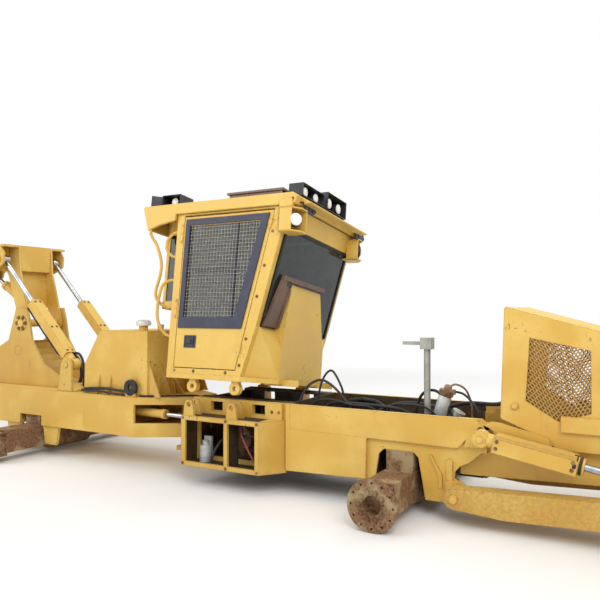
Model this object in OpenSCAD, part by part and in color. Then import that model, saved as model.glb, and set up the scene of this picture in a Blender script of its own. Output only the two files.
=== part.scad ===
// Articulated log skidder, stripped and parked: wheels, engine and grapple are gone.
// Millimetres, +X to the front, +Y to the machine's left, +Z up, the floor at z 0.
// Stations along X are written from the steering joint, whose axis stands at x 0.

/* [Stance] */
// Height of the axles over the floor, which their bare hub flanges stand on
axle_z = 190; // [185:1:230]
// Radius of a bare hub flange
hub_flange_r = 190; // [180:1:190]
// Distance of a hub flange's outer face from the middle
hub_face_y = 1000; // [900:10:1100]
// Station of the front axle
front_axle_x = 2130; // [2080:10:2160]
// Station of the rear axle
rear_axle_x = -2130; // [-2250:10:-2050]

/* [Front frame] */
// Outer face of the front frame's main side plates
rail_y = 445; // [430:1:460]
// Thickness of the side plates
rail_t = 30; // [15:1:40]
// Top of the front frame
rail_top_z = 770; // [740:5:800]
// Thickness of the raised panels on the side plates
panel_t = 30; // [10:1:40]
// Rear end of the front frame
frame_rear_x = 150; // [140:5:170]
// Thickness of the belly pan and the bulkheads
pan_t = 20; // [10:1:30]
// Outer face of the hatch boxes at the frame's sides
hatch_y = 655; // [652:1:665]
// Sheet thickness of the hatch boxes
hatch_t = 18; // [8:1:25]
// Lowest face of a hatch box
hatch_low_z = 180; // [170:5:220]
// Top face of a hatch box
hatch_top_z = 625; // [600:5:640]
// Outer face of the frame's nose ahead of the front axle
nose_y = 380; // [340:5:400]
// Front end of the frame's nose
nose_front_x = 3780; // [3700:10:3800]

/* [Steering joint] */
// Radius of the hitch ears round the steering pins
hitch_r = 105; // [90:1:115]
// Thickness of a hitch ear
hitch_t = 45; // [30:1:45]
// Radius of the steering pins
hitch_pin_r = 40; // [30:1:50]
// Gap between the hitch ears of the two frames
hitch_gap = 8; // [5:1:15]
// Middle height of the steering cylinders
steer_z = 548; // [530:1:560]
// Lateral place of the steering cylinders' rod eyes
steer_eye_y = 330; // [300:5:340]
// Station of the steering cylinders' base pins
steer_base_x = -950; // [-1000:10:-900]
// Lateral place of the steering cylinders' base pins
steer_base_y = 300; // [280:5:320]

/* [Rear frame] */
// Outer face of the rear frame
rear_y = 475; // [440:5:500]
// Top of the rear frame
rear_top_z = 710; // [690:5:730]
// Bottom of the rear frame's side boxes
rear_low_z = 323; // [300:5:350]
// Rear end of the rear frame
rear_end_x = -3000; // [-3100:10:-2950]
// Station where the rear frame's nose starts to narrow
rear_nose_x = -616; // [-650:5:-600]
// Half width of the rear frame's nose at the steering joint
rear_nose_y = 170; // [150:5:190]
// Plate thickness of the rear frame
rear_t = 25; // [12:1:30]

/* [Hydraulic tank] */
// Half width of the tank
tank_y = 400; // [350:5:405]
// Front face of the tank
tank_front_x = -508; // [-520:2:-490]
// Top of the tank
tank_top_z = 1361; // [1250:1:1400]

/* [Arch and boom] */
// Outer face of the tower's side plates
tower_y = 270; // [250:2:276]
// Plate thickness of the tower
tower_t = 25; // [15:1:30]
// Top of the tower
tower_top_z = 1600; // [1550:10:1650]
// Station of the arch's pivot
arch_pivot_x = -2560; // [-2600:5:-2520]
// Height of the arch's pivot
arch_pivot_z = 1420; // [1400:5:1450]
// Radius of the arch's pivot pin
arch_pin_r = 45; // [35:1:55]
// Station of the boom's pivot at the top of the arch
boom_pivot_x = -2960; // [-3000:5:-2940]
// Height of the boom's pivot
boom_pivot_z = 2250; // [2220:5:2280]
// Station of the bare pin bore at the boom's end
boom_head_x = -3700; // [-3800:10:-3600]
// Height of the bare pin bore at the boom's end
boom_head_z = 1930; // [1850:10:2000]
// Radius of the boom's head round its bore
boom_head_r = 95; // [85:1:110]
// Radius of the bore in the boom's head
boom_bore_r = 35; // [25:1:45]
// Lateral place of the arch cylinders
arch_cyl_y = 350; // [345:1:356]

/* [Blade] */
// Station of the push arms' pivot
arm_pivot_x = 2600; // [2560:5:2620]
// Height of the push arms' pivot
arm_pivot_z = 205; // [195:5:230]
// Inner face of a push arm
arm_in_y = 486; // [482:1:500]
// Width of a push arm
arm_w = 120; // [90:1:120]
// Half width of the blade
blade_y = 1200; // [1050:10:1300]
// Height of the blade's cutting edge over the floor at rest
blade_low_z = 22; // [15:1:60]
// Top of the blade
blade_top_z = 830; // [700:10:900]
// Station of the blade's back face at mid height
blade_back_x = 4040; // [4010:5:4060]
// Lateral place of the blade's lift cylinders
lift_cyl_y = 566; // [560:1:580]

/* [Radiator housing] */
// Rear face of the radiator housing
rad_rear_x = 2900; // [2880:5:2950]
// Front face of the radiator housing
rad_front_x = 3820; // [3780:10:3860]
// Half width of the radiator housing
rad_y = 455; // [430:5:460]
// Top of the radiator housing at its rear edge
rad_top_z = 1590; // [1500:5:1650]
// Sheet thickness of the radiator housing
rad_t = 12; // [6:1:20]

/* [Cab] */
// Lean of the cab towards the machine's left, as it is parked
cab_lean = 7.5; // [0:0.5:10]
// Half width of the cab at its door frames
cab_y = 660; // [640:5:680]
// Thickness of the door frames and doors
cab_wall = 55; // [40:1:60]
// Underside of the cab floor when the cab is seated
cab_floor_z = 790; // [785:1:800]
// Lateral place of the tilt hinge and of the mounting eyes
cab_lug_y = 595; // [585:5:605]
// Height of the tilt hinge and of the mounting eyes
cab_lug_z = 727; // [720:1:735]
// Radius of a mounting eye
cab_lug_r = 55; // [45:1:58]
// Radius of the bores in the mounting eyes
cab_bore_r = 22; // [15:1:28]
// Height of the door's lower edge
door_low_z = 890; // [870:5:900]
// Height of the door's upper edge
door_top_z = 2290; // [2250:5:2300]
// Lower edge of the door's window
door_glass_z = 1262; // [1200:2:1300]
// Gap round a door
door_gap = 7; // [5:1:10]
// Gap over a door, which rises as it swings on its slanted hinge line
door_head_gap = 16; // [12:1:24]
// Thickness of a door
door_wall = 38; // [30:1:50]
// Top of the roof
roof_top_z = 2425; // [2400:5:2450]

/* [Hidden] */

round_fn = 48;
arm_pin_r = 30;
bolt_clear = 0.05;
// Gap at which pieces are seated on each other
seat = 0.3;
paint = "#E3B24F";
shade_paint = "#B98A35";
rust = "#7A5136";
black = "#24252A";
steel = "#B9BBBE";
glass_tint = "#5D7A78";

// The part's own origin is on the floor in the middle of its length
blade_edge_x = blade_back_x + 140;
mid_x = (blade_edge_x + boom_head_x - boom_head_r) / 2;

module placed() translate([-mid_x, 0, 0]) children();
module both_sides() {
  children();
  mirror([0, 1, 0]) children();
}
module slab(x0, x1, y0, y1, z0, z1) translate([x0, y0, z0]) cube([x1 - x0, y1 - y0, z1 - z0]);
// An outline in X and Z, extruded between two places across the machine
module across(outline, y0, y1)
  translate([0, y1, 0]) rotate([90, 0, 0]) linear_extrude(y1 - y0) polygon(outline);
// An outline in X and Y, extruded upwards between two heights
module upright(outline, z0, z1) translate([0, 0, z0]) linear_extrude(z1 - z0) polygon(outline);
module rod_y(x, z, r, y0, y1) translate([x, y1, z]) rotate([90, 0, 0]) cylinder(r = r, h = y1 - y0, $fn = round_fn);
module rod_z(x, y, r, z0, z1) translate([x, y, z0]) cylinder(r = r, h = z1 - z0, $fn = round_fn);
module rod_x(y, z, r, x0, x1) translate([x0, y, z]) rotate([0, 90, 0]) cylinder(r = r, h = x1 - x0, $fn = round_fn);
// Turns the children's Z axis to run from one point to another in a plane of constant Y
module aimed(from_x, from_z, to_x, to_z, y)
  translate([from_x, y, from_z]) rotate([0, atan2(to_x - from_x, to_z - from_z), 0]) children();

// Front frame

axle_gap_low = 208;
axle_gap_top = 172;
axle_gap_z = 477;
belly_rear_z = 160;
belly_mid_z = 224;
belly_mid_x = 1650;
leg_foot_z = 125;
function belly_top(x) = belly_rear_z + pan_t + (belly_mid_z - belly_rear_z) * (x - frame_rear_x) / (belly_mid_x - frame_rear_x);
rail_front_x = 2835;
bay_rear_x = 1120;

function rail_outline() = [
  [frame_rear_x, belly_rear_z],
  [belly_mid_x, belly_mid_z],
  [front_axle_x - axle_gap_low, 205],
  [front_axle_x - axle_gap_top, axle_gap_z - 40],
  [front_axle_x - axle_gap_top + 40, axle_gap_z],
  [front_axle_x + axle_gap_top - 60, axle_gap_z],
  [front_axle_x + axle_gap_top - 20, axle_gap_z - 40],
  [front_axle_x + axle_gap_low, leg_foot_z],
  [2560, leg_foot_z],
  [2564, 360],
  [2600, 405],
  [2676, 444],
  [2760, 520],
  [rail_front_x, 621],
  [rail_front_x, 700],
  [2765, rail_top_z],
  [frame_rear_x, rail_top_z]
];
hatch_rear_x = 130;
hatch_front_x = 960;
hatch_sill_z = 240;
hatch_head_z = 600;
lug_stations = [215, 680];
cab_window_stations = [330, 780];

module front_chassis() color(paint) placed() difference() {
  union() {
    both_sides() {
      across(rail_outline(), -rail_y, -rail_y + rail_t);
      // Raised upper panel
      across([[1160, 561], [2597, 546], [2756, 740], [2740, rail_top_z], [1160, rail_top_z]],
             -rail_y - panel_t, -rail_y);
      // Raised ribs on the leg ahead of the axle
      across([[2368, 470], [2392, 470], [2470, 330], [2470, 230], [2440, 230], [2440, 325]],
             -rail_y - 12, -rail_y);
      across([[2550, 440], [2550, 230], [2500, 230], [2500, 440], [2525, 460]], -rail_y - 12, -rail_y);
      // Foot that carries the push arm's pivot
      across([[2500, 125], [2580, 120], [2660, 165], [2660, 260], [2610, 290], [2500, 300]],
             -rail_y - 30, -rail_y);
      across([[2540, 125], [2660, 165], [2660, 260], [2540, 330]], -rail_y, -rail_y + rail_t);
      rod_y(arm_pivot_x, arm_pivot_z, arm_pin_r, -arm_in_y - arm_w - 22, -rail_y - 1);
      // Bracket of the blade's lift cylinder
      lift_bracket();
      // Cab support rails and their clevis ears
      slab(hatch_rear_x, 1080, -rail_y - panel_t, -rail_y, hatch_top_z, rail_top_z);
      slab(frame_rear_x, bay_rear_x, -rail_y + rail_t, -rail_y + rail_t + 90, rail_top_z - pan_t, rail_top_z);
    }
    // Belly pan, its front part inside the legs, and the bulkheads
    across([[frame_rear_x, belly_rear_z], [belly_mid_x, belly_mid_z],
            [front_axle_x - axle_gap_low - 10, 206], [front_axle_x - axle_gap_low - 10, 206 + pan_t],
            [belly_mid_x, belly_mid_z + pan_t], [frame_rear_x, belly_rear_z + pan_t]],
           -rail_y + rail_t, rail_y - rail_t);
    slab(frame_rear_x, frame_rear_x + pan_t, -rail_y + rail_t, rail_y - rail_t, belly_rear_z + 10, rail_top_z - pan_t);
    slab(bay_rear_x, bay_rear_x + pan_t, -rail_y + rail_t, rail_y - rail_t, 215, rail_top_z);
    slab(bay_cross_x, bay_cross_x + pan_t, -rail_y + rail_t, rail_y - rail_t, 215, axle_gap_z + 20);
    slab(bay_cross_x, 2360, -rail_y + rail_t, rail_y - rail_t, axle_gap_z, axle_gap_z + 22);
    slab(2350, 2375, -rail_y + rail_t, rail_y - rail_t, 150, axle_gap_z + 22);
    nose_box();
    front_hitch();
  }
  // Openings of the hatches through the side plates
  slab(hatch_rear_x + 60, hatch_front_x - 60, -rail_y - 5, rail_y + 5, hatch_sill_z, hatch_head_z);
  // Square windows in the cab supports
  for (x = cab_window_stations) for (s = [-1, 1])
    slab(x, x + 130, s * rail_y - 60, s * rail_y + 60, 658, 742);
}

module front_hitch() {
  for (z = [front_ear_top_z, front_ear_low_z]) difference() {
    union() {
      rod_z(0, 0, hitch_r, z, z + hitch_t);
      slab(0, frame_rear_x + 1, -hitch_r, hitch_r, z, z + hitch_t);
      upright([[60, -hitch_r], [frame_rear_x + 1, -220], [frame_rear_x + 1, 220], [60, hitch_r]], z, z + hitch_t);
    }
    rod_z(0, 0, hitch_pin_r + bolt_clear, z - 1, z + hitch_t + 1);
  }
  // Ears that hold the steering cylinders' rod eyes
  for (s = [-1, 1]) for (z = [steer_z + 36, steer_z - 36 - 16]) difference() {
    union() {
      rod_z(0, s * steer_eye_y, 52, z, z + 16);
      slab(0, frame_rear_x + 1, s * steer_eye_y - 52, s * steer_eye_y + 52, z, z + 16);
    }
    rod_z(0, s * steer_eye_y, 22, z - 1, z + 17);
  }
}
front_ear_low_z = 225;
front_ear_top_z = 625 - hitch_t;
rear_ear_low_z = front_ear_low_z - hitch_gap - hitch_t;
rear_ear_top_z = front_ear_top_z + hitch_t + hitch_gap;

// Clevis ears for the cab: on the right for its mounting eyes, on the left for its tilt hinge
module cab_mounts() color(paint) placed() for (x = lug_stations) {
  near_ears(x);
  hinge_ears(x);
}
ear_gap_y = 37;
module near_ears(x) for (side = [-1, 1]) difference() {
  union() {
    translate([0, -cab_lug_y + side * (ear_gap_y + 11) , 0])
      across([[x - 58, hatch_top_z], [x - 50, 715], [x - 28, 765], [x + 28, 765], [x + 50, 715], [x + 58, hatch_top_z]],
             -11, 11);
  }
  rod_y(x, cab_lug_z, cab_bore_r + bolt_clear, -cab_lug_y - 80, -cab_lug_y + 80);
}
hinge_ear_half = 36;
module hinge_ears(x) for (side = [-1, 1]) difference() {
  union() {
    slab(x + side * (hinge_ear_half + 12) - 12, x + side * (hinge_ear_half + 12) + 12,
         cab_lug_y - 50, cab_lug_y + 50, hatch_top_z, cab_lug_z);
    rod_x(cab_lug_y, cab_lug_z, 50, x + side * (hinge_ear_half + 12) - 12, x + side * (hinge_ear_half + 12) + 12);
  }
  rod_x(cab_lug_y, cab_lug_z, cab_bore_r + bolt_clear, x - 90, x + 90);
}

lift_base_x = 2790;
lift_base_z = 655;
module lift_bracket() {
  // Round-ended plate on the raised panel, with the pin of the cylinder's base
  rod_y(lift_base_x, lift_base_z, 70, -rail_y - panel_t, -rail_y + rail_t);
  across([[2640, 560], [2700, 769], [lift_base_x + 20, 722], [lift_base_x + 40, 600], [2740, 560]],
         -rail_y - panel_t, -rail_y + rail_t);
  rod_y(lift_base_x, lift_base_z, 24, -lift_cyl_y - 60, -rail_y);
}

// Frame nose under the radiator housing
module nose_box() {
  difference() {
    across([[2500, 340], [2700, 340], [nose_front_x, 380], [nose_front_x, nose_top_z], [rad_rear_x + 200, nose_top_z],
            [rad_rear_x, 690], [2790, 740], [2700, 740], [2560, 600]], -nose_y, nose_y);
    across([[2500, 365], [2700, 365], [nose_front_x - 25, 404], [nose_front_x - 25, 575], [rad_rear_x + 190, 575],
            [rad_rear_x - 10, 700], [2700, 900], [2400, 800], [2400, 365]], -nose_y + 22, nose_y - 22);
  }
  both_sides() slab(2520, 2800, -rail_y + 1, -nose_y + 1, 520, 700);
}

// Boxes that stand out from the frame's sides round the service hatches
module hatch_boxes() color(paint) placed() both_sides() {
  difference() {
    upright([[hatch_rear_x, -rail_y], [hatch_rear_x, -hatch_y], [hatch_front_x, -hatch_y], [1110, -rail_y]],
            hatch_low_z, hatch_top_z);
    upright([[hatch_rear_x + hatch_t, -rail_y + 1], [hatch_rear_x + hatch_t, -hatch_y + hatch_t],
             [hatch_front_x - hatch_t, -hatch_y + hatch_t], [1060, -rail_y + 1]],
            hatch_low_z + hatch_t, hatch_top_z - hatch_t);
    for (bay = [[hatch_rear_x + 50, 600], [640, hatch_front_x - 40]])
      slab(bay[0], bay[1], -hatch_y - 1, -hatch_y + hatch_t + 1, hatch_low_z + 40, hatch_top_z - 40);
  }
  slab(600, 640, -hatch_y + hatch_t, -rail_y - 40, hatch_low_z + hatch_t, hatch_top_z - hatch_t);
}

module left_hatch_cover() color(paint) placed()
  slab(hatch_rear_x + 15, hatch_front_x - 10, hatch_y, hatch_y + 8, hatch_low_z + 12, hatch_top_z - 12);

module transfer_case() color(rust) placed() {
  rod_y(560, 400, 150, -250, 250);
  rod_y(560, 400, 110, -330, 330);
  across([[430, belly_top(430) + seat], [690, belly_top(690) + seat], [690, 400], [430, 400]], -200, 200);
  rod_x(0, 400, 60, 560, 1000);
  for (a = [0 : 45 : 315]) rod_y(560 + 130 * cos(a), 400 + 130 * sin(a), 12, -262, -249);
}

module hatch_canister() color("#C9CCCB") placed() {
  translate([290, -500, hatch_low_z + hatch_t + seat]) {
    cylinder(r = 55, h = 150, $fn = round_fn);
    translate([0, 0, 150]) cylinder(r = 30, h = 40, $fn = round_fn);
  }
  slab(250, 330, -470, -rail_y - seat, hatch_low_z + hatch_t + 40, 420);
}

// Axles

hub_bolts = [0 : 30 : 330];
bolt_circle_r = 160;
stud_r = 9;
// A bare hub: on the right its bolt holes are empty, and on the left the wheel studs are still in place
module hub_end(studs) {
  if (studs) for (a = hub_bolts)
    rod_y(bolt_circle_r * cos(a), bolt_circle_r * sin(a), stud_r, -hub_face_y - 60, -hub_face_y + 1);
  difference() {
    union() {
      rod_y(0, 0, hub_flange_r, -hub_face_y, -hub_face_y + 32);
      rod_y(0, 0, 120, -hub_face_y - 0, -hub_face_y + 150);
      // Webs behind the flange
      for (a = [45 : 90 : 315]) rotate([0, a, 0]) slab(-8, 8, -hub_face_y + 30, -hub_face_y + 150, 100, 172);
    }
    rod_y(0, 0, 72, -hub_face_y - 1, -hub_face_y + 90);
    if (!studs) for (a = hub_bolts)
      rod_y(bolt_circle_r * cos(a), bolt_circle_r * sin(a), stud_r, -hub_face_y - 1, -hub_face_y + 33);
  }
}

module axle(x, seat_z) color(rust) placed() translate([x, 0, axle_z]) {
  hub_end(false);
  mirror([0, 1, 0]) hub_end(true);
  both_sides() slab(-120, 120, -hub_face_y + 140, -240, -100, 130);
  // Differential housing, with its cover to the frame's middle
  rotate([90, 0, 0]) translate([0, 0, -250]) cylinder(r = 168, h = 500, $fn = round_fn);
  rod_x(0, 0, 110, -axle_gap_low + 3, 0);
  // Pads that carry the frame
  both_sides() slab(-110, 110, -rail_y, -330, 128, seat_z - axle_z - seat);
}
module front_axle() axle(front_axle_x, axle_gap_z);
module rear_axle() axle(rear_axle_x, rear_saddle_z);

// Radiator housing

rad_slope = -0.256;
rad_front_top_z = rad_top_z + rad_slope * (rad_front_x - rad_rear_x);
grille_corners = [[3105, 1371], [3500, 1290], [3500, 865], [3290, 797], [3075, 926]];
nose_top_z = 600;
rad_low_z = nose_top_z + seat;
function rad_outline(e) = [
  [rad_rear_x + e, 790 + e], [3125, 700 + e], [3300, rad_low_z + e], [rad_front_x - e, rad_low_z + e],
  [rad_front_x - e, rad_front_top_z - 60 - e], [rad_front_x - 60 - e, rad_front_top_z + 15 - e],
  [rad_rear_x + 42 + e, rad_top_z - e], [rad_rear_x + 30 + e, rad_top_z - 10 - e]
];

module radiator_housing() color(paint) placed() difference() {
  union() {
    across(rad_outline(0), -rad_y, rad_y);
    // Step ledge along each side
    both_sides() slab(3310, rad_front_x, -rad_y - 28, -rad_y, 730, 838);
  }
  across(rad_outline(rad_t), -rad_y + rad_t, rad_y - rad_t);
  // Open towards the engine bay
  slab(rad_rear_x - 50, rad_rear_x + 60, -rad_y + 60, rad_y - 60, 850, rad_top_z - 120);
  both_sides() across(grille_corners, -rad_y - 1, -rad_y + rad_t + 1);
  slab(rad_front_x - 40, rad_front_x + 1, -rad_y + 70, rad_y - 70, 700, rad_front_top_z - 110);
}
module radiator_core() color(black) placed()
  slab(rad_front_x - 260, rad_front_x - 120, -rad_y + rad_t + seat, rad_y - rad_t - seat, rad_low_z + rad_t + seat, rad_front_top_z - 10);
module side_grilles() color(shade_paint) placed() both_sides() difference() {
  translate([0, 0, 0]) across([for (p = grille_corners) [p[0] + (p[0] < 3200 ? -25 : 25), p[1] + (p[1] < 1000 ? -25 : 20)]],
         -rad_y + rad_t + seat, -rad_y + rad_t + 5);
  for (x = [3110 : 45 : 3480]) for (z = [880 : 45 : 1280])
    if (z > 940 || x > 3180) slab(x, x + 30, -rad_y, -rad_y + 40, z, z + 30);
}
module front_grille() color(black) placed() {
  for (z = [720 : 60 : rad_front_top_z - 140])
    slab(rad_front_x - 30, rad_front_x - rad_t, -rad_y + 62, rad_y - 62, z, z + 22);
  for (y = [-rad_y + 40, rad_y - 66])
    slab(rad_front_x - 30, rad_front_x - rad_t, y, y + 26, 690, rad_front_top_z - 100);
}

// Engine bay

module bay_post() color("#A7A9A4") placed() translate([2290, -250, axle_gap_z + 22]) {
  cylinder(r = 26, h = 760, $fn = round_fn);
  translate([-45, -45, 760]) cube([90, 90, 90]);
  translate([-200, -14, 790]) cube([156, 28, 28]);
  translate([-60, -60, 0]) cube([120, 120, 12]);
}
module bay_filter() color("#B5B7B5") placed() translate([2420, -150, axle_gap_z + 22]) {
  translate([-60, -30, 0]) cube([80, 60, 60]);
  translate([-20, 0, 50]) rotate([0, 28, 0]) cylinder(r = 52, h = 250, $fn = round_fn);
}

// Tubes that follow a hand-chosen route, ring by ring
function unit(v) = v / norm(v);
function ring(p, d, r, n) =
  let (a = unit(cross(d, abs(d[2]) > 0.9 ? [1, 0, 0] : [0, 0, 1])), b = unit(cross(d, a)))
  [for (i = [0 : n - 1]) p + r * (cos(i * 360 / n) * a + sin(i * 360 / n) * b)];
function headings(q) = [for (i = [0 : len(q) - 1]) unit(q[min(i + 1, len(q) - 1)] - q[max(i - 1, 0)])];
module hose(route, r, n = 8) {
  d = headings(route);
  rings = [for (i = [0 : len(route) - 1]) ring(route[i], d[i], r, n)];
  points = [for (one = rings) for (p = one) p];
  last = (len(route) - 1) * n;
  polyhedron(points, concat(
    [[for (i = [n - 1 : -1 : 0]) i]],
    [for (k = [0 : len(route) - 2]) for (i = [0 : n - 1]) for (half = [0, 1])
      half == 0 ? [k * n + i, k * n + (i + 1) % n, (k + 1) * n + i]
                : [k * n + (i + 1) % n, (k + 1) * n + (i + 1) % n, (k + 1) * n + i]],
    [[for (i = [0 : n - 1]) last + i]]
  ));
}
// Hoses that run forwards through the bay: where each leaves the rear bulkhead, its highest point, its front end
// y and z at the bulkhead, y and z of the top, y and z at the cross plate, radius
hose_table = [
  [-380, 560, -372, 744, -390, 400, 18],
  [-330, 520, -318, 730, -340, 330, 22],
  [-270, 600, -282, 716, -290, 420, 14],
  [340, 560, 352, 736, 330, 380, 20],
  [385, 620, 392, 722, 380, 430, 14]
];
bay_cross_x = 1900;
function hose_run(h) = let (x0 = bay_rear_x + pan_t + seat, x1 = bay_cross_x - seat) [
  [x0, h[0], h[1]], [x0 + 50, h[0], h[1]], [x0 + 120, h[0], (h[1] + h[3]) / 2], [x0 + 200, (h[0] + h[2]) / 2, h[3] - 20],
  [x0 + 330, h[2], h[3]], [x0 + 460, h[2], h[3] - 12], [x1 - 180, (h[2] + h[4]) / 2, h[3] - 70],
  [x1 - 110, h[4], (h[3] + h[5]) / 2], [x1 - 50, h[4], h[5]], [x1, h[4], h[5]]
];
module bay_hoses() color(black) placed() for (h = hose_table) hose(hose_run(h), h[6]);

// Rear frame

rear_saddle_z = 429;
function rear_plan() = [
  [-85, -rear_nose_y], [-85, rear_nose_y], [rear_nose_x, rear_y],
  [rear_end_x, rear_y], [rear_end_x, -rear_y], [rear_nose_x, -rear_y]
];
// Plan of one slanted nose plate on the right side
function nose_plan() = [
  [-85, -rear_nose_y], [rear_nose_x, -rear_y], [rear_nose_x - 5, -rear_y + rear_t], [-85, -rear_nose_y + rear_t]
];
pocket_half = 90;
steer_ear_z = 50;
module rear_chassis() color(paint) placed() {
  difference() {
    union() {
      upright(rear_plan(), rear_low_z, rear_low_z + rear_t);
      upright(rear_plan(), rear_top_z - rear_t, rear_top_z);
      both_sides() {
        slab(rear_end_x, rear_nose_x, -rear_y, -rear_y + rear_t, rear_low_z + 1, rear_top_z - 1);
        upright(nose_plan(), rear_low_z + 1, steer_z - pocket_half);
        upright(nose_plan(), steer_z + pocket_half, rear_top_z - 1);
        // Saddle legs of the rear axle
        across([[rear_axle_x - 420, rear_low_z + 40], [rear_axle_x - 420, rear_low_z], [rear_axle_x - 380, leg_foot_z],
                [rear_axle_x - axle_gap_low, leg_foot_z], [rear_axle_x - axle_gap_top, rear_low_z],
                [rear_axle_x + axle_gap_top, rear_low_z], [rear_axle_x + axle_gap_low, leg_foot_z],
                [rear_axle_x + 380, leg_foot_z], [rear_axle_x + 420, rear_low_z], [rear_axle_x + 420, rear_low_z + 40]],
               -rail_y - 5, -rail_y + rail_t - 5);
      }
      slab(rear_end_x, rear_end_x + rear_t, -rear_y + 1, rear_y - 1, rear_low_z + 1, rear_top_z - 1);
      // Cross plates behind the nose and round the axle
      slab(steer_base_x - 95, steer_base_x - 70, -rear_y + 1, rear_y - 1, rear_low_z + 1, rear_top_z - 1);
      slab(rear_axle_x - 220, rear_axle_x - 200, -rear_y + 1, rear_y - 1, rear_low_z + 1, rear_top_z - 1);
      slab(rear_axle_x + 200, rear_axle_x + 220, -rear_y + 1, rear_y - 1, rear_low_z + 1, rear_top_z - 1);
      slab(rear_axle_x - 210, rear_axle_x + 210, -rear_y + 1, rear_y - 1, rear_saddle_z - 1, rear_saddle_z + 22);
      rear_hitch();
      // Base ears of the steering cylinders
      for (s = [-1, 1]) for (z = [steer_z + steer_ear_z, steer_z - steer_ear_z - 20])
        slab(steer_base_x - 80, steer_base_x + 50, s * steer_base_y - 60, s * steer_base_y + 60, z, z + 20);
    }
    // Saddle for the axle
    slab(rear_axle_x - axle_gap_top, rear_axle_x + axle_gap_top, -rear_y - 10, rear_y + 10, rear_low_z - 205, rear_saddle_z);
  }
  for (s = [-1, 1]) rod_z(steer_base_x, s * steer_base_y, 22, steer_z - steer_ear_z - 28, steer_z + steer_ear_z + 28);
}
module rear_hitch() {
  for (z = [rear_ear_low_z, rear_ear_top_z]) {
    rod_z(0, 0, hitch_r, z, z + hitch_t);
    slab(-160, 0, -hitch_r, hitch_r, z, z + hitch_t);
    upright([[-120, -hitch_r + 5], [-120, hitch_r - 5], [-330, rear_nose_y], [-330, -rear_nose_y]], z + 1, z + hitch_t - 1);
  }
  rod_z(0, 0, hitch_pin_r, rear_ear_low_z + 2, front_ear_low_z + hitch_t + 4);
  rod_z(0, 0, hitch_pin_r, front_ear_top_z - 4, rear_ear_top_z + hitch_t - 2);
  // Web that joins the hitch ears behind the joint
  slab(-330, -150, -90, 90, rear_ear_low_z + 3, rear_top_z - 2);
}

module hydraulic_tank() color(paint) placed() {
  across([[-1384, rear_top_z], [-1378, 1005], [-1155, tank_top_z], [tank_front_x, tank_top_z], [tank_front_x, rear_top_z]],
         -tank_y, tank_y);
  // Gussets at the foot of its front face
  for (y = [-300, -60, 180]) across([[tank_front_x, rear_top_z], [tank_front_x, 1000], [tank_front_x + 70, rear_top_z]], y, y + 14);
  // Filler neck and a second, smaller neck
  translate([-700, -250, tank_top_z]) {
    cylinder(r = 45, h = 50, $fn = round_fn);
    translate([0, 0, 50]) cylinder(r = 60, h = 45, $fn = round_fn);
  }
  translate([-560, -150, tank_top_z]) cylinder(r = 30, h = 50, $fn = round_fn);
}

// Tower, arch and boom

arch_base_x = -1600;
arch_base_z = 990;
arch_eye_x = -2760;
arch_eye_z = 2160;
module arch_tower() color(paint) placed() {
  both_sides() {
    difference() {
      across([[rear_end_x, rear_top_z], [-1480, rear_top_z], [-1480, 1030], [-1560, 1090], [-1950, 1210],
              [-2350, tower_top_z], [-2780, tower_top_z], [rear_end_x, 1300]], -tower_y, -tower_y + tower_t);
      rod_y(arch_pivot_x, arch_pivot_z, arch_pin_r + bolt_clear, -tower_y - 1, -tower_y + tower_t + 1);
      // Large lightening hole
      across([[-2120, 1150], [-2200, 1260], [-2330, 1260], [-2330, 1000], [-2180, 960]], -tower_y - 1, -tower_y + tower_t + 1);
    }
    // Outer cheek of the cylinder's base, on a foot of its own
    rod_y(arch_base_x, arch_base_z, 75, -arch_cyl_y - 105, -arch_cyl_y - 82);
    slab(arch_base_x - 75, arch_base_x + 75, -arch_cyl_y - 105, -arch_cyl_y - 82, rear_top_z, arch_base_z);
    rod_y(arch_base_x, arch_base_z, 28, -arch_cyl_y - 118, -tower_y);
  }
  // Cross plates between the side plates
  slab(-1520, -1480, -tower_y + tower_t, tower_y - tower_t, rear_top_z, 1000);
  slab(rear_end_x, rear_end_x + 25, -tower_y + tower_t, tower_y - tower_t, rear_top_z, 1150);
  across([[-2000, rear_top_z], [-1900, rear_top_z], [-2200, 1150], [-2240, 1150]], -tower_y + tower_t, tower_y - tower_t);
}

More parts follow.
